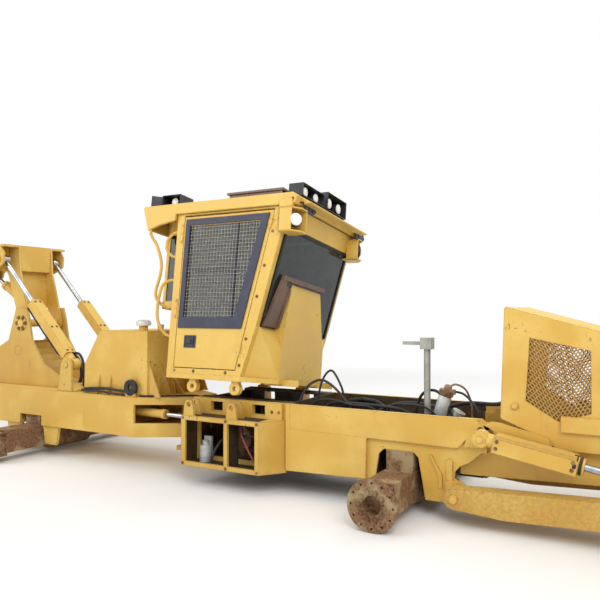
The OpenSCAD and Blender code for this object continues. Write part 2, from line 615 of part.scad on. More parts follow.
arch_in_y = 238;
module arch_frame() color(paint) placed() {
  both_sides() difference() {
    union() {
      // Side plates of the tapered stem
      rod_y(arch_pivot_x, arch_pivot_z, 95, -arch_in_y, -arch_in_y + 28);
      across([[arch_pivot_x + 90, arch_pivot_z + 20], [-2640, 2030], [-2660, 2330], [-2900, 2340], [-2960, 2330], [-3060, 2250],
              [-2960, 2140], [-2840, 1980], [arch_pivot_x - 90, arch_pivot_z + 30]], -arch_in_y, -arch_in_y + 28);
    }
    rod_y(boom_pivot_x, boom_pivot_z, 40 + bolt_clear, -arch_in_y - 1, -arch_in_y + 29);
  }
  // Pivot shaft
  rod_y(arch_pivot_x, arch_pivot_z, arch_pin_r, -tower_y - 20, tower_y + 20);
  // Box beam across the top, with cheeks that hold the rod eyes
  difference() {
    slab(-2860, -2660, -arch_in_y + 28, arch_in_y - 28, 2030, 2330);
    slab(-2840, -2680, -arch_in_y - 28, arch_in_y + 28, 2050, 2310);
  }
  across([[-2720, 1600], [-2700, 1600], [-2750, 2030], [-2770, 2030]], -arch_in_y + 28, arch_in_y - 28);
  both_sides() {
    slab(-2860, -2835, -430, -arch_in_y, 2030, 2330);
    slab(-2860, -2660, -430, -arch_in_y, 2305, 2330);
    difference() {
      across([[-2860, 2030], [-2860, 2330], [-2740, 2330], [-2670, 2230], [-2680, 2110], [-2760, 2060]], -430, -408);
      rod_y(arch_eye_x, arch_eye_z, 28, -440, -400);
    }
    rod_y(arch_eye_x, arch_eye_z, 40, -446, -430);
    // Rear ears for the boom cylinder
  }
  for (y = [-boom_ear_y - 22, boom_ear_y])
    across([[-2705, 1605], [-2720, 1740], [-2800, 1700], [-2850, 1620], [-2800, 1545]], y, y + 22);
  rod_y(boom_base_x, boom_base_z, 22, -boom_ear_y - 30, boom_ear_y + 30);
}
boom_ear_y = 62;
boom_base_x = -2790;
boom_base_z = 1620;
boom_eye_x = -3400;
boom_eye_z = 2000;

module boom_beam() color(paint) placed() {
  difference() {
    union() {
      rod_y(boom_pivot_x, boom_pivot_z, 90, -195, 195);
      across([[boom_pivot_x + 20, boom_pivot_z + 88], [-3300, 2330], [boom_head_x - 20, boom_head_z + 92],
              [boom_head_x - 20, boom_head_z - 92], [-3420, 2060], [boom_pivot_x - 20, boom_pivot_z - 88]], -150, 150);
      rod_y(boom_head_x, boom_head_z, boom_head_r, -150, 150);
    }
    // Open fork at the head
    slab(boom_head_x - 120, boom_head_x + 130, -85, 85, boom_head_z - 200, boom_head_z + 200);
    rod_y(boom_head_x, boom_head_z, boom_bore_r, -200, 200);
  }
  rod_y(boom_pivot_x, boom_pivot_z, 40, -arch_in_y - 14, arch_in_y + 14);
  for (y = [-60, 38]) difference() {
    across([[-3300, 2120], [-3480, 2080], [-3460, 1980], [-3400, 1940], [-3340, 1980]], y, y + 22);
    rod_y(boom_eye_x, boom_eye_z, 22, y - 1, y + 23);
  }
}

// Hydraulic cylinders: a barrel with its base eye, and a rod with its own eye

gland = 60;
module barrel_unit(length, r, eye_r, eye_w, pin_r, bore_r, bore_from, rod_r) difference() {
  union() {
    rotate([90, 0, 0]) translate([0, 0, -eye_w / 2]) cylinder(r = eye_r, h = eye_w, $fn = round_fn);
    translate([0, 0, eye_r * 0.7]) cylinder(r = r, h = length - eye_r * 0.7, $fn = round_fn);
    translate([0, 0, length - 50]) cylinder(r = r * 1.12, h = 50, $fn = round_fn);
  }
  rotate([90, 0, 0]) translate([0, 0, -eye_w]) cylinder(r = pin_r + bolt_clear, h = 2 * eye_w, $fn = round_fn);
  translate([0, 0, bore_from]) cylinder(r = bore_r, h = length - gland - bore_from, $fn = round_fn);
  translate([0, 0, bore_from]) cylinder(r = rod_r + seat, h = length, $fn = round_fn);
}
module rod_unit(total, inner, r, eye_r, eye_w, pin_r) difference() {
  union() {
    translate([0, 0, total - inner]) cylinder(r = r, h = inner, $fn = round_fn);
    translate([0, 0, total]) rotate([90, 0, 0]) translate([0, 0, -eye_w / 2]) cylinder(r = eye_r, h = eye_w, $fn = round_fn);
  }
  translate([0, 0, total]) rotate([90, 0, 0]) translate([0, 0, -eye_w]) cylinder(r = pin_r, h = 2 * eye_w, $fn = round_fn);
}
// Bent plate guard over a barrel
module guard(w, from_l, to_l, t = 8) {
  translate([-w / 2, -w / 2, from_l]) cube([t, w, to_l - from_l]);
  for (y = [-w / 2, w / 2 - t]) translate([-w / 2, y, from_l]) cube([w * 0.8, t, to_l - from_l]);
}

arch_len = norm([arch_eye_x - arch_base_x, arch_eye_z - arch_base_z]);
arch_barrel_len = 930;
module arch_cylinder_barrels() color(paint) placed() both_sides()
  aimed(arch_base_x, arch_base_z, arch_eye_x, arch_eye_z, -arch_cyl_y) {
    barrel_unit(arch_barrel_len, 52, 62, 90, 28, 42, 120, 27);
    rotate([0, 0, 180]) difference() {
      guard(126, 120, arch_barrel_len - 10);
      cylinder(r = 52, h = 2000, $fn = round_fn);
    }
    for (l = [150, 500, 880]) for (y = [-1, 1]) translate([-30, y * 54 - 5, l]) cube([60, 10, 30]);
  }
module arch_cylinder_rods() color(steel) placed() both_sides()
  aimed(arch_base_x, arch_base_z, arch_eye_x, arch_eye_z, -arch_cyl_y)
    rod_unit(arch_len, 1090, 27, 50, 80, 28);

boom_len = norm([boom_eye_x - boom_base_x, boom_eye_z - boom_base_z]);
module boom_cylinder_barrel() color(paint) placed()
  aimed(boom_base_x, boom_base_z, boom_eye_x, boom_eye_z, 0) barrel_unit(500, 50, 50, 2 * boom_ear_y - 8, 22, 38, 80, 25);
module boom_cylinder_rod() color(steel) placed()
  aimed(boom_base_x, boom_base_z, boom_eye_x, boom_eye_z, 0) rod_unit(boom_len, 440, 25, 42, 60, 22);

blade_eye_x = 3950;
blade_eye_z = 440;
lift_len = norm([blade_eye_x - lift_base_x, blade_eye_z - lift_base_z]);
lift_barrel_len = 690;
module blade_cylinder_barrels() color(paint) placed() both_sides()
  aimed(lift_base_x, lift_base_z, blade_eye_x, blade_eye_z, -lift_cyl_y) {
    barrel_unit(lift_barrel_len, 50, 60, 84, 24, 38, 120, 26);
    rotate([0, 0, 180]) difference() {
      guard(128, 95, lift_barrel_len - 40);
      cylinder(r = 50, h = 2000, $fn = round_fn);
    }
    for (l = [110, 560]) for (y = [-1, 1]) translate([-30, y * 53 - 5, l]) cube([60, 10, 30]);
  }
module blade_cylinder_rods() color(steel) placed() both_sides()
  aimed(lift_base_x, lift_base_z, blade_eye_x, blade_eye_z, -lift_cyl_y)
    rod_unit(lift_len, 620, 26, 46, 60, 24);

steer_len = norm([steer_base_x, steer_eye_y - steer_base_y]);
module steer_frame(s) translate([steer_base_x, s * steer_base_y, steer_z])
  rotate([0, 0, s * atan2(steer_eye_y - steer_base_y, -steer_base_x)]) rotate([0, 90, 0]) rotate([0, 0, 90]) children();
module steer_barrel(s) color(shade_paint) placed() steer_frame(s) barrel_unit(620, 42, 45, 2 * steer_ear_z - 8, 22, 30, 85, 22);
module steer_rod(s) color(steel) placed() steer_frame(s) rod_unit(steer_len, 630, 22, 38, 60, 22);
module steer_barrel_right() steer_barrel(-1);
module steer_barrel_left() steer_barrel(1);
module steer_rod_right() steer_rod(-1);
module steer_rod_left() steer_rod(1);

// Blade

module blade_arms() color(shade_paint) placed() both_sides() difference() {
  union() {
    rod_y(arm_pivot_x, arm_pivot_z, 75, -arm_in_y - arm_w, -arm_in_y);
    across([[arm_pivot_x, arm_pivot_z - 75], [2950, 105], [blade_back_x, 150], [blade_back_x, 340], [2750, 290],
            [arm_pivot_x, arm_pivot_z + 75]], -arm_in_y - arm_w, -arm_in_y);
  }
  rod_y(arm_pivot_x, arm_pivot_z, arm_pin_r + bolt_clear, -700, -400);
}
module dozer_blade() color(paint) placed() {
  union() {
    across([[blade_back_x + 60, blade_low_z], [blade_edge_x, blade_low_z], [blade_edge_x - 30, 120], [blade_back_x + 38, 260],
            [blade_back_x + 22, 430], [blade_back_x + 45, 620], [blade_back_x + 110, blade_top_z],
            [blade_back_x + 70, blade_top_z], [blade_back_x + 15, 640], [blade_back_x, 430], [blade_back_x, 200]],
           -blade_y, blade_y);
  }
  // Stiffening ribs on the back, with the lift cylinders' ears
  both_sides() for (y = [-lift_cyl_y - 33 - 20, -lift_cyl_y + 33]) difference() {
    across([[blade_back_x + 1, 345], [blade_back_x + 1, 540], [3940, 500], [3900, 450], [3900, 400], [3940, 370]], y, y + 20);
    rod_y(blade_eye_x, blade_eye_z, 24, y - 1, y + 21);
  }
}

// Cab, drawn seated and then leant over its tilt hinge on the left

module leant() placed() translate([0, cab_lug_y, cab_lug_z]) rotate([-cab_lean, 0, 0])
  translate([0, -cab_lug_y, -cab_lug_z]) children();

sill_top_z = 835;
head_z = door_top_z + 32;
function post_rear(z) = -60 - 26 * (z - sill_top_z) / (head_z - sill_top_z);
pillar_rear_x = -70;
cowl_x = 990;
cowl_y = 395;
screen_low = [884, 1274];
screen_top = [1070, 2090];
screen_slope = (screen_top[0] - screen_low[0]) / (screen_top[1] - screen_low[1]);
function screen_x(z) = screen_low[0] + screen_slope * (z - screen_low[1]);
door_rear_x = [22, 6];
door_front_x = [696, 988];
door_slope = (door_front_x[1] - door_front_x[0]) / (door_top_z - door_low_z);
function door_front(z) = door_front_x[0] + door_slope * (z - door_low_z);
function door_rear(z) = door_rear_x[0] + (door_rear_x[1] - door_rear_x[0]) * (z - door_low_z) / (door_top_z - door_low_z);
// Door outline shrunk or grown by e
function door_outline(z0, z1, e) = [
  [door_rear(z0) - e, z0 - e], [door_front(z0) + e, z0 - e], [door_front(z1) + e, z1 + e], [door_rear(z1) - e, z1 + e]
];

// Door hinges, whose line runs along the door's slanted front edge, just outside its skin
hinge_heights = [1060, 2180];
knuckle_r = 9.7;
knuckle = 50;
hinge_pin_r = 5;
module on_hinge(z) translate([door_front(z) + door_gap / 2, -cab_y - 10, z]) rotate([0, atan(door_slope), 0]) children();

module cab_floor() color(paint) leant() {
  difference() {
    upright([[-60, -cab_y], [755, -cab_y], [cowl_x, -cowl_y], [cowl_x, cowl_y], [755, cab_y], [-60, cab_y]],
            cab_floor_z, sill_top_z);
    upright([[60, -560], [740, -560], [740, 560], [60, 560]], sill_top_z - 25, sill_top_z + 1);
  }
  // Mounting eyes on the right
  for (x = lug_stations) difference() {
    union() {
      rod_y(x, cab_lug_z, cab_lug_r, -cab_lug_y - 25, -cab_lug_y + 25);
      slab(x - 36, x + 36, -cab_lug_y - 25, -cab_lug_y + 25, cab_lug_z, cab_floor_z + 1);
    }
    rod_y(x, cab_lug_z, cab_bore_r, -cab_lug_y - 30, -cab_lug_y + 30);
  }
  // Tilt hinge knuckles on the left, with their pins
  for (x = lug_stations) {
    rod_x(cab_lug_y, cab_lug_z, 46, x - hinge_ear_half + 6, x + hinge_ear_half - 6);
    slab(x - hinge_ear_half + 6, x + hinge_ear_half - 6, cab_lug_y - 30, cab_lug_y + 46, cab_lug_z, cab_floor_z + 1);
    rod_x(cab_lug_y, cab_lug_z, cab_bore_r, x - 80, x + 80);
  }
  // Lower bracket plates ahead of the doors
  both_sides() slab(800, 1150, -330, -320, cab_floor_z - 14, sill_top_z - seat);
}

module cab_frame() color(paint) leant() {
  both_sides() difference() {
    across([[-60, sill_top_z], [760, sill_top_z], [screen_low[0], screen_low[1]], [screen_x(head_z), head_z],
            [-86, head_z]], -cab_y, -cab_y + cab_wall);
    across(door_outline(door_low_z, door_top_z + door_head_gap - door_gap, door_gap), -cab_y - 1, -cab_y + cab_wall + 1);
  }
  // Fixed halves of the door hinges, with their pins
  both_sides() for (z = hinge_heights) on_hinge(z) {
    for (end = [knuckle / 2 + seat, -knuckle - seat]) translate([0, 0, end]) {
      cylinder(r = knuckle_r, h = knuckle / 2, $fn = 32);
      translate([0, 6.5, 0]) cube([55, 4.5, knuckle / 2]);
    }
    cylinder(r = hinge_pin_r, h = 2 * knuckle, center = true, $fn = 32);
  }
  // Rear wall with its window
  difference() {
    across([[-60, sill_top_z], [-25, sill_top_z], [-50, head_z], [-86, head_z]],
           -cab_y + cab_wall, cab_y - cab_wall);
    slab(-120, 20, -cab_y + 150, cab_y - 150, 1250, 2180);
  }
  // Header over the windscreen
  across([[screen_x(2150) - 5, 2150], [screen_x(2150) + 25, 2150], [screen_x(2322) + 25, 2322], [screen_x(2322) - 5, 2322]],
         -cab_y + cab_wall, cab_y - cab_wall);
}

function cowl_points(e) = [
  for (s = [-1, 1]) for (p = [
    [755 - e, s * (cab_y - cab_wall - e), sill_top_z + e], [screen_low[0] - e, s * (cab_y - cab_wall - e), screen_low[1] - e],
    [screen_low[0] - e, s * 400, screen_low[1] - e],
    [cowl_x - e, s * (cowl_y - e), sill_top_z + e], [cowl_x - e, s * (cowl_y - e), 1115 - e],
    [700, s * (cab_y - cab_wall - e), sill_top_z + e], [700, s * (cab_y - cab_wall - e), screen_low[1] - e]
  ]) p
];
function tower_points(e) = [
  for (s = [-1, 1]) for (p = [
    [cowl_x - e, s * (cowl_y - e), 1115 - e], [cowl_x - e, s * (275 - e), 1690 - e], [screen_x(1690) - 60, s * (275 - e), 1690 - e],
    [800, s * (cowl_y - e), 1115 - e], [cowl_x - e, s * (cowl_y - e), 900], [800, s * (cowl_y - e), 900]
  ]) p
];
module corner_hull(points) hull() for (p = points) translate(p) cube(0.5, center = true);

module cab_cowl() color(paint) leant() difference() {
  union() {
    corner_hull(cowl_points(0.25));
    corner_hull(tower_points(0.25));
  }
  corner_hull(cowl_points(14));
  corner_hull(tower_points(14));
  // Open towards the cab, behind the plane of the windscreen
  across([[screen_x(800) - 30, 800], [screen_x(1800) - 30, 1800], [500, 1800], [500, 800]], -cab_y, cab_y);
  slab(0, 900, -cab_y, cab_y, 0, sill_top_z);
}

module cab_windscreen() color(glass_tint, 0.5) leant() difference() {
  across([[screen_x(1278), 1278], [screen_x(1278) + 8, 1278], [screen_x(2148) + 8, 2148], [screen_x(2148), 2148]],
         -cab_y + cab_wall + seat, cab_y - cab_wall - seat);
  corner_hull(tower_points(-seat));
  corner_hull(cowl_points(-seat));
}

module cab_rear_window() color(glass_tint, 0.5) leant()
  across([[-58, 1250 + seat], [-52, 1250 + seat], [-66, 2180 - seat], [-72, 2180 - seat]], -cab_y + 150 + seat, cab_y - 150 - seat);

module cab_roof() color(paint) leant() {
  difference() {
    across([[-490, 2230], [-440, roof_top_z - 20], [-400, roof_top_z], [1180, roof_top_z], [1233, roof_top_z - 30],
            [1205, head_z + seat], [-95, head_z + seat], [-190, 2230]], -cab_y - 35, cab_y + 35);
    across([[-470, 2200], [-425, roof_top_z - 30], [1170, roof_top_z - 30], [1180, door_top_z], [-100, door_top_z], [-200, 2200]],
           -cab_y + 20, cab_y - 20);
  }
  // Brow over the windscreen
  across([[1180, roof_top_z - 60], [1240, roof_top_z - 60], [1420, 2330], [1410, 2318], [1220, roof_top_z - 100]], -600, 600);
}
module roof_air_box() color("#7B6658") leant()
  across([[330, roof_top_z], [330, roof_top_z + 120], [820, roof_top_z + 120], [820, roof_top_z]], -320, 320);

lamp_spots = [
  // x, y, z, half size, facing back or front
  [-420, -540, 2425, -1], [-420, 540, 2425, -1], [1100, -540, 2425, 1], [1100, 540, 2425, 1]
];
module work_lamps() color(black) leant() for (l = lamp_spots) translate([l[0], l[1], l[2]]) {
  translate([-55, -85, 12]) cube([110, 170, 110]);
  translate([-20, -30, 0]) cube([40, 60, 12]);
}

rail_low_z = 1200;
rail_high_z = 2130;
module grab_rails() color("#E7C34C") leant() both_sides()
  hose([[post_rear(rail_low_z) - 2 * seat, -640, rail_low_z], [-110, -640, rail_low_z], [-150, -668, 1230], [-180, -690, 1320],
        [-198, -700, 1500], [-190, -700, 1800], [-158, -690, 2030], [-125, -668, 2110], [-108, -640, rail_high_z],
        [post_rear(rail_high_z) - 2 * seat, -640, rail_high_z]], 13, 12);

module operator_seat() color(black) leant() {
  slab(150, 560, -230, 230, 1060, 1180);
  slab(80, 190, -220, 220, 1180, 1800);
  slab(220, 480, -120, 120, sill_top_z - 25, 1060);
}
module control_console() color(black) leant() both_sides()
  slab(180, 520, -420, -290, sill_top_z - 25, 1250);

// Doors, hinged along their slanted front edges

door_skin = 12;
module door_leaf() {
  difference() {
    across(door_outline(door_low_z, door_top_z, 0), -cab_y, -cab_y + door_wall);
    across(door_outline(door_low_z + 20, door_top_z - 20, -30), -cab_y + door_skin, -cab_y + door_wall + 1);
    across(door_outline(door_glass_z + 40, door_top_z - 50, -40), -cab_y - 1, -cab_y + door_wall + 1);
  }
  for (z = hinge_heights) on_hinge(z) difference() {
    union() {
      translate([0, 0, -knuckle / 2]) cylinder(r = knuckle_r, h = knuckle, $fn = 32);
      translate([-70, 6.5, -knuckle / 2]) cube([70, 4.5, knuckle]);
    }
    cylinder(r = hinge_pin_r + bolt_clear, h = 3 * knuckle, center = true, $fn = 32);
  }
}
module door_window()
  across(door_outline(door_glass_z + 35, door_top_z - 45, -34), -cab_y + door_skin + seat, -cab_y + door_skin + seat + 8);
module right_door() color(paint) leant() door_leaf();
module left_door() color(paint) leant() mirror([0, 1, 0]) door_leaf();
module right_door_window() color(glass_tint, 0.5) leant() door_window();
module left_door_window() color(glass_tint, 0.5) leant() mirror([0, 1, 0]) door_window();

front_chassis();
cab_mounts();
hatch_boxes();
left_hatch_cover();
transfer_case();
hatch_canister();
front_axle();
radiator_housing();
radiator_core();
side_grilles();
front_grille();
bay_post();
bay_filter();
bay_hoses();
rear_chassis();
rear_axle();
hydraulic_tank();
arch_tower();
arch_frame();
arch_cylinder_barrels();
arch_cylinder_rods();
boom_beam();
boom_cylinder_barrel();
boom_cylinder_rod();
steer_barrel_right();
steer_barrel_left();
steer_rod_right();
steer_rod_left();
blade_arms();
dozer_blade();
blade_cylinder_barrels();
blade_cylinder_rods();
cab_floor();
cab_frame();
cab_cowl();
cab_windscreen();
cab_rear_window();
cab_roof();
roof_air_box();
work_lamps();
grab_rails();
operator_seat();
control_console();
right_door();
left_door();
right_door_window();
left_door_window();
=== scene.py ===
# %% [markdown]
# A stripped log skidder, dressed for its portrait
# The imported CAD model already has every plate, pin and piston in its real place. This lesson only gives it its
# looks: chalky yellow enamel, rust, chrome, glass, hoses and bolts. It starts with the frame they are measured from.

# %% Load the frame
import math

import bpy
import bmesh
from mathutils import Matrix, Vector


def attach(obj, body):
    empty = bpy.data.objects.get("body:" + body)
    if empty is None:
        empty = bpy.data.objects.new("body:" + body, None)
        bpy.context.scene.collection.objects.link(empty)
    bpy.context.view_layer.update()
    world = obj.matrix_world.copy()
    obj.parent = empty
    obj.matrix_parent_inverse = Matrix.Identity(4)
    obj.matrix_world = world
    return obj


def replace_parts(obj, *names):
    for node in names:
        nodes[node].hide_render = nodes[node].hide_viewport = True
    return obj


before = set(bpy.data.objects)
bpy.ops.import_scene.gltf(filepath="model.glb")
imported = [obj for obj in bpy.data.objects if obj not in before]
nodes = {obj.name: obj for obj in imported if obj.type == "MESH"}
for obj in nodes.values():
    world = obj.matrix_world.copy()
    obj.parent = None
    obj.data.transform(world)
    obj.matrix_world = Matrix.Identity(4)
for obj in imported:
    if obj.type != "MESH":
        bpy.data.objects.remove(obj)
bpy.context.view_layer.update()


def put(name, data):
    """A new object in the scene."""
    obj = bpy.data.objects.new(name, data)
    bpy.context.scene.collection.objects.link(obj)
    return obj

# %% [markdown]
# The camera
# The photograph was taken from the machine's right, ahead of the cab, at about eye height.
# Its place was solved from edges of the frame and the cab, at the sizes that the model gives them.

# %% Camera
camera = put("camera", bpy.data.cameras.new("camera"))
camera.location = (3.7585, -5.237, 1.56)
camera.rotation_euler = [math.radians(a) for a in (90.97, 0.0, 29.48)]
camera.data.sensor_width = 36.0
camera.data.lens = 39.0
bpy.context.scene.camera = camera
door_middle = Vector((0.4, -0.66, 1.5))
print("camera stands", round((camera.location - door_middle).length, 2), "m from the door")

# %% [markdown]
# Colour and node helpers
# Hex colours are what a screen shows, while a shader wants linear light.
# One function turns the first into the second. The others add nodes, often to the tree that a socket belongs to.

# %% Helpers for materials


def linear(hex_colour):
    out = []
    for i in (1, 3, 5):
        v = int(hex_colour[i:i + 2], 16) / 255
        out.append(v / 12.92 if v <= 0.04045 else ((v + 0.055) / 1.055) ** 2.4)
    return (*out, 1.0)


def fill(socket, value):
    if isinstance(value, bpy.types.NodeSocket):
        value.id_data.links.new(value, socket)
    elif isinstance(value, str) and value.startswith("#"):
        socket.default_value = linear(value)
    else:
        socket.default_value = value


def add(tree, kind, inputs=None, **settings):
    """One node: its attributes by name, its inputs by name or number, each a value or another node's output."""
    node = tree.nodes.new(kind)
    for name, value in settings.items():
        setattr(node, name, value)
    for key, value in (inputs or {}).items():
        fill(node.inputs[key], value)
    return node


def new_material(name, **shader):
    """A material, its shader, and the Object coordinates for its noises."""
    material = bpy.data.materials.new(name)
    material.use_nodes = True
    tree = material.node_tree
    bsdf = tree.nodes["Principled BSDF"]
    for key, value in shader.items():
        bsdf.inputs[key.replace("_", " ")].default_value = value
    return material, bsdf, add(tree, "ShaderNodeTexCoord").outputs["Object"]


def ramp(source, low, high, to=(0.0, 1.0)):
    """A soft step: the first value below low, the second above high."""
    limits = {"From Min": low, "From Max": high, "To Min": to[0], "To Max": to[1]}
    return add(source.id_data, "ShaderNodeMapRange", {"Value": source, **limits},
               interpolation_type="SMOOTHSTEP").outputs[0]


def noise(place, scale, detail=4.0, rough=0.55):
    return add(place.id_data, "ShaderNodeTexNoise",
               {"Vector": place, "Scale": scale, "Detail": detail, "Roughness": rough}).outputs[0]


def mix(factor, a, b):
    node = add(factor.id_data, "ShaderNodeMix", data_type="RGBA")
    for number, value in ((0, factor), (6, a), (7, b)):
        fill(node.inputs[number], value)
    return node.outputs[2]


def sum_of(*values, how="ADD"):
    out = values[0]
    for v in values[1:]:
        node = add(out.id_data, "ShaderNodeMath", {0: out, 1: v}, operation=how)
        node.use_clamp = how == "ADD"
        out = node.outputs[0]
    return out


def product(*values):
    return sum_of(*values, how="MULTIPLY")


def axes_of(vector):
    return add(vector.id_data, "ShaderNodeSeparateXYZ", {0: vector}).outputs


def facing_up(tree):
    return axes_of(add(tree, "ShaderNodeNewGeometry").outputs["Normal"])[2]


def coat(bsdf, colour, strength, distance, height):
    """Sets a shader's colour and its bump."""
    fill(bsdf.inputs["Base Color"], colour)
    bump = add(bsdf.id_data, "ShaderNodeBump", {"Strength": strength, "Distance": distance, "Height": height})
    fill(bsdf.inputs["Normal"], bump.outputs[0])


def worn_edge(tree, radius):
    """1 along an edge, 0 on a flat: the bevelled normal leaves the true one only near an edge."""
    soft = add(tree, "ShaderNodeBevel", {"Radius": radius}, samples=4).outputs[0]
    true = add(tree, "ShaderNodeNewGeometry").outputs["True Normal"]
    dot = add(tree, "ShaderNodeVectorMath", {0: soft, 1: true}, operation="DOT_PRODUCT").outputs["Value"]
    return ramp(dot, 0.985, 0.80)


print("helpers ready")

# %% [markdown]
# Weathered machine enamel
# Sprayed golden yellow enamel that has stood outdoors for years: it fades chalky where the sky reaches it,
# rusts from its edges inwards, and carries dark streaks down its sides and brown dirt low down.
# Noises give the blotches (400 mm), the rust specks (15 mm) and the streaks, drawn out 8 to 1 in Z.
# Inside the engine bay and the hatch boxes the coat turns near black nearer to the middle than a width: partly real
# oil, partly painted shade of those deep recesses.

# %% Enamel


def machine_enamel(name, fresh, faded, dirt, rust_amount, dirt_height, streaks=1.0, oily_shaded_width=0.0, oily_shaded_end=2.4):
    material, bsdf, place = new_material(name, IOR=1.5, Metallic=0.0)
    drawn = add(place.id_data, "ShaderNodeMapping", {"Vector": place, "Scale": (1.0, 1.0, 0.12)}).outputs[0]
    blotch = noise(place, 2.5, 5.0)
    specks = noise(place, 38.0, 6.0, 0.7)
    streak = noise(drawn, 14.0, 5.0, 0.65)
    fine = noise(place, 160.0, 3.0)
    fade = sum_of(ramp(blotch, 0.42, 0.66), ramp(facing_up(place.id_data), 0.35, 0.95))
    colour = mix(fade, fresh, faded)
    colour = mix(ramp(streak, 0.60, 0.82, (0.0, 0.34 * streaks)), colour, dirt)
    low = ramp(axes_of(place)[2], dirt_height, dirt_height - 0.35)
    grime = product(low, ramp(specks, 0.38, 0.62), 0.28)
    colour = mix(grime, colour, dirt)
    edge = product(worn_edge(place.id_data, 0.012), ramp(specks, 0.50 - rust_amount, 0.62), 0.85)
    eaten = 0.06 * rust_amount
    spots = ramp(product(specks, blotch), 0.375 - eaten, 0.43 - eaten)
    rust = sum_of(edge, product(spots, 0.8))
    colour = mix(rust, colour, mix(fine, "#5A3520", "#8C5C35"))
    # Painted shade mixed with real oil: faces nearer the middle than the width, and behind the end station, turn near
    # black.
    if oily_shaded_width:
        ahead, across, _ = axes_of(place)
        across = add(place.id_data, "ShaderNodeMath", {0: across}, operation="ABSOLUTE").outputs[0]
        inside = product(ramp(across, oily_shaded_width, oily_shaded_width - 0.006),
                         ramp(blotch, 0.2, 0.5, (0.75, 0.97)), ramp(ahead, oily_shaded_end, oily_shaded_end - 0.005))
        colour = mix(inside, colour, mix(ramp(specks, 0.4, 0.6), "#15120F", "#3A2C1E"))
    fill(bsdf.inputs["Roughness"], ramp(sum_of(rust, fade), 0.0, 1.0, (0.40, 0.78)))
    coat(bsdf, colour, 0.25, 0.0015, sum_of(fine, rust))
    return material


golden, scuffed = ("#CEA446", "#D9B55E", "#8A6A38", 0.18, 0.30), ("#C39940", "#CEAB57", "#6E4D2C")
enamel = machine_enamel("sprayed_yellow_enamel", *golden)
cab_enamel = machine_enamel("cab_yellow_enamel", "#D4AC4C", "#DDBB64", "#9A7740", 0.06, 0.10, 0.6)
worn_enamel = machine_enamel("scuffed_frame_enamel", *scuffed, 0.26, 0.75, 1.4)
# These two coats paint the shade of their deep insides near black, mixed with real oil.
bay_enamel = machine_enamel("enamel_greasy_and_shaded_inside", *golden, 1.0, 0.436)
hatch_enamel = machine_enamel("hatch_enamel_oily_and_shaded", *scuffed, 0.34, 0.3, 1.4, 0.636, 0.756)
mesh_enamel = machine_enamel("yellow_coated_mesh", "#C29A50", "#CFAA66", "#6E5530", 0.3, 0.8)
air_enamel = machine_enamel("sun_bleached_brown_enamel", "#6B5853", "#84736D", "#5C4438", 0.24, 0.1)
channel_enamel = machine_enamel("rusted_brown_channel", "#5D4638", "#7B6252", "#3E2E26", 0.22, 0.1)
print("enamels:", enamel.name, cab_enamel.name, worn_enamel.name)

# %% [markdown]
# Rust, chrome and grey steel
# Bare cast steel rusts to a matt brown crust with grains of 5 to 20 mm, so its colour and its bump share one noise.
# A piston rod is hard chromed and nearly a mirror. Weather dulls it in clouds, so one noise drives both its colour
# and its roughness. The post in the bay is dull grey steel, and the window guards are galvanised wire.

# %% Bare metals


def crusty(name, dark, light, mud):
    material, bsdf, place = new_material(name, Roughness=0.88, IOR=1.45, Metallic=0.0)
    grain = noise(place, 60.0, 7.0, 0.65)
    cloud = noise(place, 6.0, 4.0)
    colour = mix(ramp(grain, 0.35, 0.65), dark, light)
    colour = mix(ramp(cloud, 0.48, 0.66, (0.0, 0.8)), colour, mud)
    coat(bsdf, colour, 0.6, 0.003, grain)
    return material


def plain_metal(name, colour_a, colour_b, rough_low, rough_high, metallic, scale=9.0):
    material, bsdf, place = new_material(name, Metallic=metallic)
    cloud = noise(place, scale, 5.0)
    fill(bsdf.inputs["Roughness"], ramp(cloud, 0.35, 0.7, (rough_low, rough_high)))
    colour = mix(ramp(cloud, 0.4, 0.65), colour_a, colour_b)
    coat(bsdf, colour, 0.15, 0.001, noise(place, 220.0, 3.0))
    return material


cast_rust = crusty("rusted_cast_steel", "#4A2D1D", "#7E5536", "#9A8464")
axle_rust = crusty("weathered_axle_steel", "#5B3F2A", "#8F6D4C", "#A8936F")
chrome = plain_metal("hard_chromed_rod", "#B9BCBF", "#9DA0A4", 0.16, 0.3, 1.0)
grey_steel = plain_metal("dull_grey_steel", "#A6A69E", "#8E8D84", 0.45, 0.7, 0.55)
pale_sheet = plain_metal("pale_canister_sheet", "#C6C8C6", "#A5A59F", 0.4, 0.6, 0.1)
brown_sheet = plain_metal("faded_brown_sheet", "#6E5A50", "#8A766B", 0.55, 0.8, 0.1, 5.0)
guard_wire = plain_metal("dusty_galvanised_wire", "#A79F8C", "#C5BDA6", 0.5, 0.75, 0.3, 20.0)
print("metals ready")

# %% [markdown]
# Plastic, rubber, glass and cloth
# Black lamp housings and consoles are moulded plastic, greyed by dust that settles on what faces up.
# The windows are tinted safety glass: a transmissive shader under a patchy film of dust.

# %% Dark and clear finishes


def dusty(name, base, dust, rough, scale=12.0, amount=0.35, grain=300.0, sheen=0.0):
    material, bsdf, place = new_material(name, Roughness=rough, IOR=1.48, Sheen_Weight=sheen)
    settled = sum_of(ramp(noise(place, scale, 5.0), 0.42, 0.72, (0.0, amount)),
                     ramp(facing_up(place.id_data), 0.4, 1.0, (0.0, amount)))
    coat(bsdf, mix(settled, base, dust), 0.3, 0.0008, noise(place, grain, 2.0))
    return material


def safety_glass(name, tint):
    material, bsdf, place = new_material(name, IOR=1.45, Transmission_Weight=0.86)
    film = noise(place, 5.0, 4.0)
    fill(bsdf.inputs["Base Color"], mix(ramp(film, 0.35, 0.75, (0.0, 0.4)), tint, "#6F7871"))
    fill(bsdf.inputs["Roughness"], ramp(film, 0.35, 0.75, (0.03, 0.18)))
    return material


